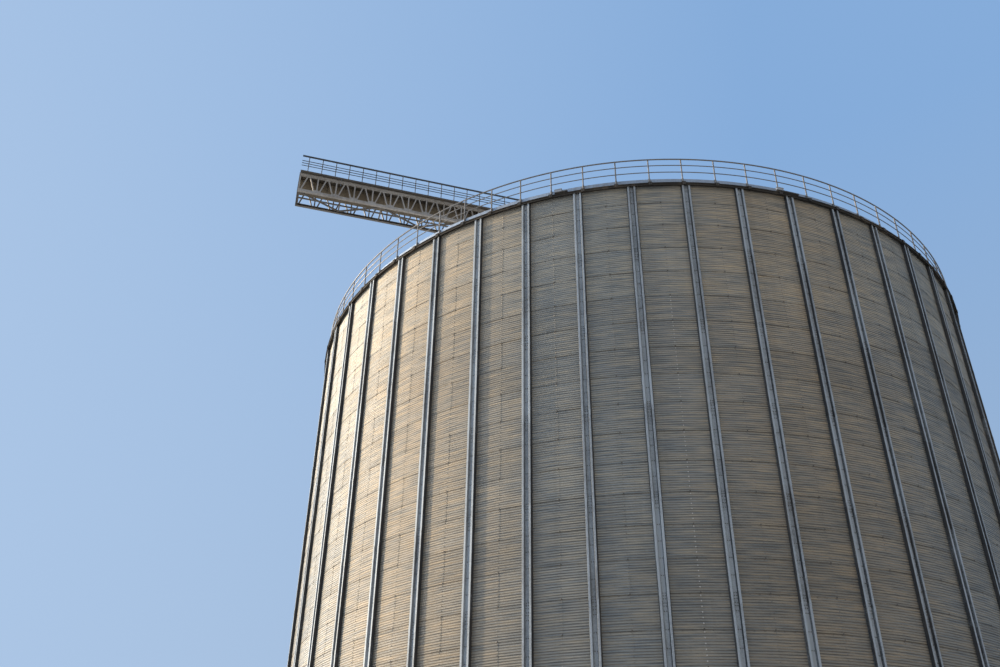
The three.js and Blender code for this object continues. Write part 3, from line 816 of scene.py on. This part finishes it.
RIB_SIDES = (-0.05, 0.05)
RIB_PLATE = 0.004
RIB_TOP = LIP_TOP + 0.12
BRACKET_BOLT = (0.009, 0.008)
BRACKET_BOLTS = (EAVE - 0.035, EAVE + 0.005)


def ring_tube(shape, radius, z, tube, angles, sides=10):
    arc_sweep(shape, [(radius + x, z + y) for x, y in circle(tube, sides)], angles)


def railing_feet(name, posts):
    """Base plates, brackets over the roof's edge and ribs that hold each post."""
    shape = Shape()
    boxes(shape, posts, (RAIL_RADIUS - 0.05, -BASE_HALF, LIP_TOP),
                 (ROOF_LIP + 0.004, BASE_HALF, LIP_TOP + BASE_PLATE))
    boxes(shape, posts, (ROOF_LIP, -BRACKET_HALF, BRACKET_FOOT),
                 (ROOF_LIP + BRACKET_PLATE, BRACKET_HALF, BRACKET_TOP))
    inner, outer = RAIL_RADIUS - TUBE, ROOF_LIP + 0.004
    for side in RIB_SIDES:
        rib = np.array(box_corners((inner, side - RIB_PLATE, LIP_TOP), (outer, side + RIB_PLATE, RIB_TOP)))
        rib[OUTER_TOP, 2] = BRACKET_TOP
        shape.add_copies(turned(rib, posts), BOX_FACES)
    shape.make(name + "_feet", EAVE_TRIM_RUST_AND_SHADE, "railing_steel")


def toe_board(name, joints):
    """Upright plates along the railing's foot, from joint to joint."""
    shape = Shape()
    outer = BOARD_INNER + BOARD_PLATE
    low, high = TOE_BOARD
    for first, last in zip(joints, joints[1:]):
        arc_sweep(shape, [(BOARD_INNER, low), (outer, low), (outer, high), (BOARD_INNER, high)],
                  np.linspace(first + BOARD_GAP, last - BOARD_GAP, 9))
    shape.make(name + "_toe_board", BOARD, "railing_steel")


def railing(name, node, start, end):
    """Posts with a handrail, two thinner rails and a toe board, on feet bolted to the eave."""
    shape = Shape()
    count = round((end - start) / SEGMENT * POSTS_PER_SEGMENT)
    posts = start + (np.arange(count) + 0.5) * ((end - start) / count)
    span = np.linspace(start, end, 4 * count + 1)
    ring_tube(shape, RAIL_RADIUS, TOP_RAIL, TUBE, span)
    for z in MIDDLE_RAILS:
        ring_tube(shape, RAIL_RADIUS, z, THIN_TUBE, span, 8)
    rods(shape, spot(RAIL_RADIUS, posts, LIP_TOP), spot(RAIL_RADIUS, posts, TOP_RAIL), TUBE, 10)
    boxes(shape, posts, (BOARD_INNER + BOARD_PLATE, -CLIP_HALF, TOE_BOARD[0]),
                 (RAIL_RADIUS, CLIP_HALF, TOE_BOARD[1]))
    railing_feet(name, posts)
    toe_board(name, [start, *posts[2:-1:2], end])
    shape.make(name, RAIL, "railing_steel", [node], sharp=40)
    bolts = Shape()
    for side in BOLT_SIDES:
        for z in BRACKET_BOLTS:
            centres = placed(ROOF_LIP + BRACKET_PLATE, side, z, posts)
            bolt_heads(bolts, centres, outward(posts), *BRACKET_BOLT, flat=True)
    bolts.make(name + "_bolts", BOLT, "railing_steel")


def railings():
    """Railing all round the eave, open at the ladder."""
    starts = [RAIL_START + i * SEGMENT for i in range(SEGMENTS)] + [LADDER_ANGLE + LADDER_GAP]
    ends = starts[1:SEGMENTS] + [LADDER_ANGLE - LADDER_GAP, RAIL_START + 2 * math.pi]
    for i, (start, end) in enumerate(zip(starts, ends), 1):
        railing(f"eave_railing_{i}", f"railing_{i}", start, end)


# Studs along the roof's edge and small housings beside the railing

STUDS_PER_BAY = 4
STUD_RADIUS = 12.36
STUD_NUT = (0.012, 0.012)
STUD_ROD = 0.006
STUD_HEIGHT = 0.028
SLAB_INNER = RAIL_RADIUS + TUBE + 0.004
SLAB_FOOT = LIP_TOP + 0.02
SLAB_TOP = SLAB_FOOT + 0.05
HOUSING_TOP = SLAB_TOP + 0.10

# Angle, half the slab's width, and the housing's middle along the slab
HOUSINGS = ((math.radians(269.7), 0.36, -0.24), (math.radians(237.8), 0.2, -0.09))


def eave_studs():
    shape = Shape()
    angles = (np.arange(BAYS * STUDS_PER_BAY) + 0.5) / STUDS_PER_BAY * BAY
    foot = spot(STUD_RADIUS, angles, LIP_TOP)
    bolt_heads(shape, foot, UP, *STUD_NUT, flat=True)
    rods(shape, foot, foot + [0, 0, STUD_HEIGHT], STUD_ROD, 6)
    shape.make("eave_studs", BOLT, "roof_sheet")


def eave_housings():
    """Slabs on low feet, each with one small lidded housing."""
    slabs, housing = Shape(), Shape()
    for angle, half, middle in HOUSINGS:
        boxes(slabs, [angle], (SLAB_INNER, -half, SLAB_FOOT), (SLAB_INNER + 0.1, half, SLAB_TOP))
        boxes(slabs, [angle], (SLAB_INNER - 0.02, -half * 0.6, LIP_TOP),
                     (SLAB_INNER + 0.06, half * 0.6, SLAB_FOOT))
        boxes(housing, [angle], (SLAB_INNER, middle - 0.11, SLAB_TOP),
                     (SLAB_INNER + 0.09, middle + 0.11, HOUSING_TOP))
        boxes(housing, [angle], (SLAB_INNER - 0.004, middle - 0.12, HOUSING_TOP - 0.004),
                     (SLAB_INNER + 0.1, middle + 0.12, HOUSING_TOP + 0.008))
    slabs.make("eave_slabs", EAVE_TRIM_RUST_AND_SHADE, "conveyor_steel")
    housing.make("eave_housings", HOUSING, "conveyor_steel")


# Peak: collar and lid

SPOUT_Y = 0.12
SADDLE_HALF = 0.23
COLLAR_FOOT = roof_top(COLLAR) + SEAM
COLLAR_TOP = COLLAR_FOOT + 0.42
COLLAR_PLATE = 0.012
LID_FOOT = COLLAR_TOP + SEAM
LID_TOP = LID_FOOT + 0.04
LID_HOLE = 0.21
LID_CHAMFER = 0.008
COLLAR_BOLTS = 32
FLANGE_BOLT = (0.013, 0.012)
LID_BOLT = (0.012, 0.01)


def peak():
    """Flanged collar at the roof's peak and its lid, with a saddle under the spout."""
    shape, lid, bolts = Shape(), Shape(), Shape()
    angles = np.linspace(0, 2 * math.pi, 2 * BAYS + 1)
    inner, skirt, rim, edge, flange = (COLLAR + out for out in (-COLLAR_PLATE, -0.001, 0.035, 0.05, 0.06))
    drop, flange_top, rim_foot = COLLAR_FOOT - 0.24, COLLAR_FOOT + COLLAR_PLATE, COLLAR_TOP - 0.01
    arc_sweep(shape, [(inner, drop), (skirt, drop), (skirt, COLLAR_FOOT), (flange, COLLAR_FOOT),
                      (flange, flange_top), (COLLAR, flange_top), (COLLAR, rim_foot), (rim, rim_foot),
                      (rim, COLLAR_TOP), (inner, COLLAR_TOP)], angles, caps=False)
    shape.make("collar_drum", ROOF, "roof_sheet", ["peak_collar"])
    arc_sweep(lid, [(LID_HOLE, LID_FOOT), (edge, LID_FOOT), (edge, LID_TOP - LID_CHAMFER),
                    (edge - LID_CHAMFER, LID_TOP), (LID_HOLE, LID_TOP)], angles, caps=False)
    box(lid, (-SADDLE_HALF, SPOUT_Y - SADDLE_HALF, COLLAR_TOP + 0.004),
        (SADDLE_HALF, SPOUT_Y + SADDLE_HALF, LID_TOP + 0.004))
    lid.make("collar_lid", ROOF, "roof_sheet", ["peak_lid"])
    around = (np.arange(COLLAR_BOLTS) + 0.5) * 2 * math.pi / COLLAR_BOLTS
    bolt_heads(bolts, spot(COLLAR + 0.04, around, flange_top), UP, *FLANGE_BOLT, flat=True)
    bolt_heads(bolts, spot(COLLAR + 0.02, around, LID_TOP), UP, *LID_BOLT, flat=True)
    bolts.make("collar_bolts", BOLT, "roof_sheet")


# Gallery

CHORD_WIDTH = 0.1
CHORD_HEIGHT = 0.11
CHORD = (CHORD_WIDTH, CHORD_HEIGHT, 0.009)
TRUSS_LINE = GALLERY_HALF - CHORD_WIDTH / 2
WEB = 0.054
WEB_PLATE = 0.007
WEB_OVERLAP = 0.006
WEB_SPREAD = 0.085
DIAGONAL = WEB * 0.9
GUSSET = 0.006
GUSSET_GAP = 0.02
GUSSET_HEIGHT = 0.11
DECK_PLATES = 9
PLATE_GAP = 0.002
KERB = 0.05
KERB_PLATE = 0.005
BEAM_SIZE = (0.05, 0.07, 0.006)
BEAM_LINE = DECK - 0.035
GUARD_HEIGHT = 0.9
GUARD_RAILS = (0.34, 0.47, 0.6)
GUARD_POSTS = 27
GUARD_INSET = 0.025
GUARD_RAIL = 0.015
GUARD_POST = 0.018
HANDRAIL_HALF = 0.022
HANDRAIL_DEPTH = 0.06
TROUGH_HALF = 0.2
TROUGH_DEPTH = 0.49
COVER_LIP = 0.018


def channel(width, height, thick):
    """Outline of a channel, open towards its first direction."""
    w, h = width / 2, height / 2
    back, lip = thick - w, h - thick
    return [(-w, -h), (w, -h), (w, -lip), (back, -lip), (back, lip), (w, lip), (w, h), (-w, h)]


def angle_iron(size, thick):
    s = size / 2
    inner = thick - s
    return [(-s, -s), (s, -s), (s, inner), (inner, inner), (inner, s), (-s, s)]


def truss(name, node, side, finish):
    """Two channel chords with angle-iron verticals and diagonals on gusset plates."""
    y = side * TRUSS_LINE
    low, high = GALLERY_LOW + CHORD_HEIGHT / 2, DECK - CHORD_HEIGHT / 2
    shape = Shape()
    for z in (low, high):
        bars(shape, [[OUTER_END, y, z]], [[INNER_END, y, z]], channel(*CHORD), (0, -side, 0))
    low_face = low + CHORD_HEIGHT / 2 - WEB_OVERLAP
    high_face = high - CHORD_HEIGHT / 2 + WEB_OVERLAP
    joints = OUTER_END + np.arange(PANELS + 1) * PANEL
    posts = joints.copy()
    posts[0] += WEB / 2
    posts[-1] -= WEB / 2
    ends = np.c_[posts, np.full(PANELS + 1, y)]
    bars(shape, np.c_[ends, np.full(PANELS + 1, low_face)], np.c_[ends, np.full(PANELS + 1, high_face)],
         angle_iron(WEB, WEB_PLATE), (0, 1, 0))
    starts, stops = [], []
    for first, last in zip(joints, joints[1:]):
        left = first + WEB_SPREAD + WEB / 2
        right = last - WEB_SPREAD - WEB / 2
        middle = (left + right) / 2
        starts += [[left, y, low_face], [middle + WEB_SPREAD / 2, y, high_face]]
        stops += [[middle - WEB_SPREAD / 2, y, high_face], [right, y, low_face]]
    bars(shape, starts, stops, angle_iron(DIAGONAL, WEB_PLATE), (0, 1, 0))
    near = y + side * (CHORD_WIDTH / 2 - 0.016)
    for places, half, foot in ((joints[1:-1], 0.13, low + GUSSET_GAP),
                               ((joints[:-1] + joints[1:]) / 2, 0.1, high - GUSSET_GAP - GUSSET_HEIGHT)):
        for x in places:
            box(shape, (x - half, near, foot), (x + half, near + GUSSET, foot + GUSSET_HEIGHT))
    shape.make(name, finish, "gallery_steel", [node], sharp=30)


def gallery_floor():
    """Deck plates with a kerb along both edges, on short beams beside the conveyor."""
    shape, beams = Shape(), Shape()
    bottom = DECK + SEAM
    length = (INNER_END - OUTER_END) / DECK_PLATES
    edge = DECK_HALF - 0.006
    for i in range(DECK_PLATES):
        x = OUTER_END + i * length
        box(shape, (x + PLATE_GAP, -edge, bottom), (x + length - PLATE_GAP, edge, DECK_TOP))
    for y in (-DECK_HALF, DECK_HALF - KERB_PLATE):
        box(shape, (OUTER_END, y, bottom), (INNER_END, y + KERB_PLATE, DECK_TOP + KERB))
    shape.make("gallery_deck_plates", PLATE, "deck_steel", ["gallery_deck"])
    inner = TRUSS_LINE - CHORD_WIDTH / 2 - SEAM
    cover = TROUGH_HALF + COVER_LIP
    for i in range(2 * PANELS + 1):
        x = OUTER_END + 0.04 + i * (PANEL / 2 - 0.002)
        for start, stop in ((-inner, SPOUT_Y - cover), (SPOUT_Y + cover, inner)):
            bars(beams, [[x, start, BEAM_LINE]], [[x, stop, BEAM_LINE]], channel(*BEAM_SIZE), (1, 0, 0))
    beams.make("gallery_floor_beams", PLATE, "deck_steel")


def gallery_guard(name, node, y):
    """Posts with three thin rails and a flat handrail."""
    shape = Shape()
    foot = DECK_TOP + SEAM
    top = foot + GUARD_HEIGHT
    step = (INNER_END - OUTER_END) / GUARD_POSTS
    posts = OUTER_END + (np.arange(GUARD_POSTS) + 0.5) * step
    for rise in GUARD_RAILS:
        rods(shape, [[OUTER_END, y, foot + rise]], [[INNER_END, y, foot + rise]], GUARD_RAIL)
    bases = np.c_[posts, np.full(GUARD_POSTS, y), np.full(GUARD_POSTS, foot)]
    rods(shape, bases, bases + [0, 0, GUARD_HEIGHT - 0.05], GUARD_POST)
    for x in posts:
        box(shape, (x - 0.035, y - GUARD_POST, foot), (x + 0.035, y + GUARD_POST, foot + 0.008))
    box(shape, (OUTER_END, y - HANDRAIL_HALF, top - HANDRAIL_DEPTH), (INNER_END, y + HANDRAIL_HALF, top))
    shape.make(name, GUARD, "railing_steel", [node], sharp=40)


# Conveyor

TROUGH_IN = -0.31 - SEAM
TROUGH_NEAR = SPOUT_Y - TROUGH_HALF
TROUGH_FAR = SPOUT_Y + TROUGH_HALF
TROUGH_FOOT = DECK - TROUGH_DEPTH
COVER_FOOT = DECK - 0.03
FLANGES = np.linspace(OUTER_END + 1.2, TROUGH_IN - 0.6, 7)
FLANGE_SIDES = (-0.012, 0.004)
FLANGE_PLATE = 0.008
FLANGE_REACH = 0.03
TROUGH_BOLT = (0.010, 0.008)
TROUGH_BOLTS = np.linspace(TROUGH_FOOT + 0.04, DECK - 0.08, 5)
STRAPS = np.linspace(OUTER_END + 0.4, TROUGH_IN - 0.4, 12)
STRAP_HALF = 0.025
STRAP = 0.006
HATCH_FROM = (0.08, -0.008, 0.12)
HATCH_TO = (0.54, 0, 0.44)
HATCH_BOLT = (0.012, 0.01)


def trough_joints(shape, bolts):
    """Bolted flanges between the trough's lengths."""
    for x in FLANGES:
        for side in FLANGE_SIDES:
            box(shape, (x + side, TROUGH_NEAR - FLANGE_REACH, TROUGH_FOOT - FLANGE_REACH),
                (x + side + FLANGE_PLATE, TROUGH_FAR + FLANGE_REACH, COVER_FOOT))
        for y in (TROUGH_NEAR - FLANGE_REACH / 2, TROUGH_FAR + FLANGE_REACH / 2):
            bolt_heads(bolts, [[x + 0.012, y, z] for z in TROUGH_BOLTS], (1, 0, 0), *TROUGH_BOLT, flat=True)


def trough_straps(shape):
    """Straps that carry the trough from the deck."""
    foot = TROUGH_FOOT - STRAP
    for x in STRAPS:
        start, stop = x - STRAP_HALF, x + STRAP_HALF
        for y in (TROUGH_NEAR - STRAP, TROUGH_FAR):
            box(shape, (start, y, foot), (stop, y + STRAP, COVER_FOOT))
        box(shape, (start, TROUGH_NEAR - STRAP, foot), (stop, TROUGH_FAR + STRAP, TROUGH_FOOT))


def conveyor():
    """Trough under the deck, with its cover's lips, and the bolted hatch of its head."""
    shape, bolts, hatch = Shape(), Shape(), Shape()
    box(shape, (OUTER_END, TROUGH_NEAR, TROUGH_FOOT), (TROUGH_IN, TROUGH_FAR, DECK - 0.006))
    for y in (TROUGH_NEAR - COVER_LIP, TROUGH_FAR):
        box(shape, (OUTER_END, y, COVER_FOOT), (TROUGH_IN, y + COVER_LIP, DECK - 0.002))
    trough_joints(shape, bolts)
    trough_straps(shape)
    shape.make("conveyor_housing", CONVEYOR, "conveyor_steel", ["conveyor_trough"])
    corner = np.array(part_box("conveyor_head")[0])
    box(hatch, corner + HATCH_FROM, corner + HATCH_TO)
    hatch.make("head_hatch", HOUSING, "conveyor_steel")
    for x in (0.11, 0.51):
        for z in (0.15, 0.28, 0.41):
            bolt_heads(bolts, [corner + (x, HATCH_FROM[1], z)], (0, -1, 0), *HATCH_BOLT, flat=True)
    bolts.make("conveyor_bolts", BOLT, "conveyor_steel")


# Ladders

LADDER_RADIUS = 12.45
LADDER_HALF = 0.225
STRINGER = [(-0.008, -0.03), (0.008, -0.03), (0.008, 0.03), (-0.008, 0.03)]
RUNG = 0.012
RUNG_STEP = 0.3
STANDOFFS = 9
ROOF_LADDER = (11.9, 2.4)
ROOF_LADDER_GAP = 0.013 + SEAM


def ladder_piece(name, node, start, end, standoffs=()):
    """Two flat stringers with round rungs; start and end lie on the ladder's middle line."""
    shape = Shape()
    across = np.array([-math.sin(LADDER_ANGLE), math.cos(LADDER_ANGLE), 0])
    half = across * LADDER_HALF
    for offset in (-half, half):
        bars(shape, [start + offset], [end + offset], STRINGER, across)
    rungs = int(np.linalg.norm(end - start) / RUNG_STEP)
    centres = start + (end - start) * (np.arange(rungs)[:, None] + 0.5) / rungs
    rods(shape, centres - half, centres + half, RUNG)
    for z in standoffs:
        for side in (-LADDER_HALF, LADDER_HALF):
            boxes(shape, [LADDER_ANGLE], (RADIUS, side - 0.02, z - 0.004),
                         (LADDER_RADIUS, side + 0.02, z + 0.004))
            boxes(shape, [LADDER_ANGLE], (RADIUS, side - 0.03, z - 0.05),
                         (RADIUS + 0.006, side + 0.03, z + 0.05))
    shape.make(name, RAIL, "railing_steel", [node], sharp=40)


def ladders():
    """One up the wall on standoffs, and one up the roof on its ribs."""
    foot = spot(LADDER_RADIUS, LADDER_ANGLE, FOOT)[0]
    top = spot(LADDER_RADIUS, LADDER_ANGLE, RAILING_TOP)[0]
    standoffs = FOOT + RING * RINGS * (np.arange(STANDOFFS) + 0.5) / STANDOFFS
    ladder_piece("side_ladder", "wall_ladder", foot, top, standoffs)
    lift = RIB_HEIGHT + ROOF_LADDER_GAP / math.cos(math.atan(math.tan(ROOF_PITCH) / FLAT))
    low, high = (spot(radius, LADDER_ANGLE, roof_top(radius / FLAT) + lift)[0] for radius in ROOF_LADDER)
    ladder_piece("roof_slope_ladder", "roof_ladder", low, high)


# Door

DOOR_ANGLE = BAY * 1.5
DOOR_HALF = 0.36
DOOR_SILL = FOOT + 0.57
DOOR_HEAD = FOOT + 2.03
DOOR_MIDDLE = (DOOR_SILL + DOOR_HEAD) / 2
DOOR_FACE = RADIUS * FLAT + SEAM + 0.06
HINGES = (DOOR_SILL + 0.3, DOOR_HEAD - 0.3)
CLAMPS = (DOOR_SILL + 0.25, DOOR_MIDDLE, DOOR_HEAD - 0.25)
GRIP = DOOR_MIDDLE - 0.25
GRIP_OUT = 0.04
GRIP_SIDE = DOOR_HALF - 0.14


def door_fittings():
    """Hinges, clamps and a handle on the closed leaf."""
    shape = Shape()
    at = [DOOR_ANGLE]

    def block(deep, left, right, z, half):
        boxes(shape, at, (DOOR_FACE, left, z - half), (DOOR_FACE + deep, right, z + half))

    for z in HINGES:
        block(0.008, -DOOR_HALF + 0.01, DOOR_HALF - 0.2, z, 0.03)
        pin = placed(DOOR_FACE + 0.02, -DOOR_HALF + 0.012, z, at)
        rods(shape, pin - [0, 0, 0.06], pin + [0, 0, 0.06], 0.014, 10)
    for z in CLAMPS:
        block(0.03, DOOR_HALF - 0.1, DOOR_HALF - 0.005, z, 0.02)
    grip = placed(DOOR_FACE + GRIP_OUT, GRIP_SIDE, GRIP, at)
    rods(shape, grip - [0, 0, 0.1], grip + [0, 0, 0.1], 0.01)
    for z in (GRIP - 0.09, GRIP + 0.09):
        block(GRIP_OUT, GRIP_SIDE - 0.008, GRIP_SIDE + 0.008, z, 0.01)
    shape.make("door_fittings", HOUSING, "conveyor_steel")


def dress_cad():
    """Finishes for the solids that stay as they are."""
    finishes = {
        "floor_slab": CONCRETE,
        "door_frame": HOUSING, "wall_door": HOUSING, "conveyor_head": HOUSING, "feed_spout": HOUSING,
        "peak_frame": GALLERY, "gallery_bracing": GALLERY_SHADED, "gallery_end_frame": GALLERY_SHADED,
        "peak_landing": PLATE, "landing_railing": RAIL,
    }
    for node, material in finishes.items():
        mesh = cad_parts[node].data
        mesh.materials.clear()
        mesh.materials.append(material)


# Camera, light and floor

IMAGE_WIDTH = 1000
FOCAL_PIXELS = 938.5
SENSOR_WIDTH = 36.0
CAMERA_ANGLE = math.radians(245.445)
CAMERA_DISTANCE = 2.7132 * RADIUS
CAMERA_HEIGHT = EAVE - 1.6239 * RADIUS
CAMERA_PITCH = math.radians(31.146)
CAMERA_ROLL = math.radians(0.793)
AXIS_OFFSET = math.radians(9.266)
FRAME_SHIFT = 0.065
VIEW_LENGTH = 500
LAMP_SIDE = math.radians(152)
GLOW_SIDE = math.radians(145)
WARM_SIDE = math.radians(275)
DOME_LOW = (0.57, 0.71, 0.88)
DOME_HIGH = (0.34, 0.59, 1.0)
DOME_WARM = (0.80, 0.70, 0.57)
DOME_PALE = (0.60, 0.82, 1.15)
DOME_STRENGTH = 0.70
FLOOR_HALF = 400
FLOOR_DARK = (0.50, 0.48, 0.445)
FLOOR_LIGHT = (0.54, 0.52, 0.485)


def direction(angle, height=0.0):
    return Vector((math.cos(angle) * math.cos(height), math.sin(angle) * math.cos(height), math.sin(height)))


def camera():
    data = bpy.data.cameras.new("photo_camera")
    data.sensor_width = SENSOR_WIDTH
    data.lens = FOCAL_PIXELS * SENSOR_WIDTH / IMAGE_WIDTH
    data.shift_y = FRAME_SHIFT
    data.clip_end = VIEW_LENGTH
    eye = add_object("photo_camera", data)
    forward = direction(CAMERA_ANGLE + math.pi + AXIS_OFFSET, CAMERA_PITCH)
    turn = forward.to_track_quat("-Z", "Y").to_matrix() @ Matrix.Rotation(CAMERA_ROLL, 3, "Z")
    place = direction(CAMERA_ANGLE) * CAMERA_DISTANCE + Vector((0, 0, CAMERA_HEIGHT))
    eye.matrix_world = Matrix.Translation(place) @ turn.to_4x4()
    bpy.context.scene.camera = eye


def sun(name, side, height, energy, colour, softness):
    """A lamp far off; its height and softness are in degrees."""
    data = bpy.data.lights.new(name, "SUN")
    data.energy = energy
    data.color = colour
    data.angle = math.radians(softness)
    lamp = add_object(name, data)
    lamp.matrix_world = direction(side, math.radians(height)).to_track_quat("Z", "Y").to_matrix().to_4x4()


def dome():
    """Soft light from all round: bluer overhead, warmer behind the camera and paler towards the lamp."""
    world = bpy.data.worlds.new("studio")
    bpy.context.scene.world = world
    world.use_nodes = True
    light = Patterns(world.node_tree, "Generated")
    colour = light.blend(light.span(light.towards(UP), 0.0, 0.7), DOME_LOW, DOME_HIGH)
    colour = light.blend(light.span(light.towards(direction(WARM_SIDE)), 0.3, 1.0), colour, DOME_WARM)
    colour = light.blend(light.span(light.towards(direction(LAMP_SIDE)), -0.1, 0.75), colour, DOME_PALE)
    background = world.node_tree.nodes["Background"]
    light.join(colour, background.inputs["Color"])
    background.inputs["Strength"].default_value = DOME_STRENGTH


def studio_floor():
    data = bpy.data.meshes.new("studio_floor")
    corners = [(x * FLOOR_HALF, y * FLOOR_HALF, 0) for x, y in ((-1, -1), (1, -1), (1, 1), (-1, 1))]
    data.from_pydata(corners, [], [(0, 1, 2, 3)])
    floor = add_object("studio_floor", data)
    paint = Paint("floor_paint", 0.0, 0.2)
    data.materials.append(paint.finish(paint.blend(paint.noise(0.05), FLOOR_DARK, FLOOR_LIGHT), 0.9))


def studio():
    """A dome of soft light, a low warm lamp for the key, a broad soft one beside it, and a pale floor."""
    dome()
    sun("key_light", LAMP_SIDE, height=13, energy=4.55, colour=(1.0, 0.77, 0.50), softness=2.0)
    sun("soft_light", GLOW_SIDE, height=12, energy=4.9, colour=(1.0, 0.99, 0.97), softness=70.0)
    bpy.context.scene.view_settings.view_transform = "Standard"
    studio_floor()


camera()
foundation()
wall_sheets()
wall_bolts()
uprights()
roof_sheets()
railings()
eave_studs()
eave_housings()
peak()
truss("truss_near", "gallery_truss_near", -1, GALLERY)
# The far truss takes the darker copy of the gallery's steel: painted shade
truss("truss_far", "gallery_truss_far", 1, GALLERY_SHADED)
gallery_floor()
gallery_guard("guard_near", "gallery_railing_near", GUARD_INSET - DECK_HALF)
gallery_guard("guard_far", "gallery_railing_far", DECK_HALF - GUARD_INSET)
conveyor()
ladders()
door_fittings()
dress_cad()
studio()
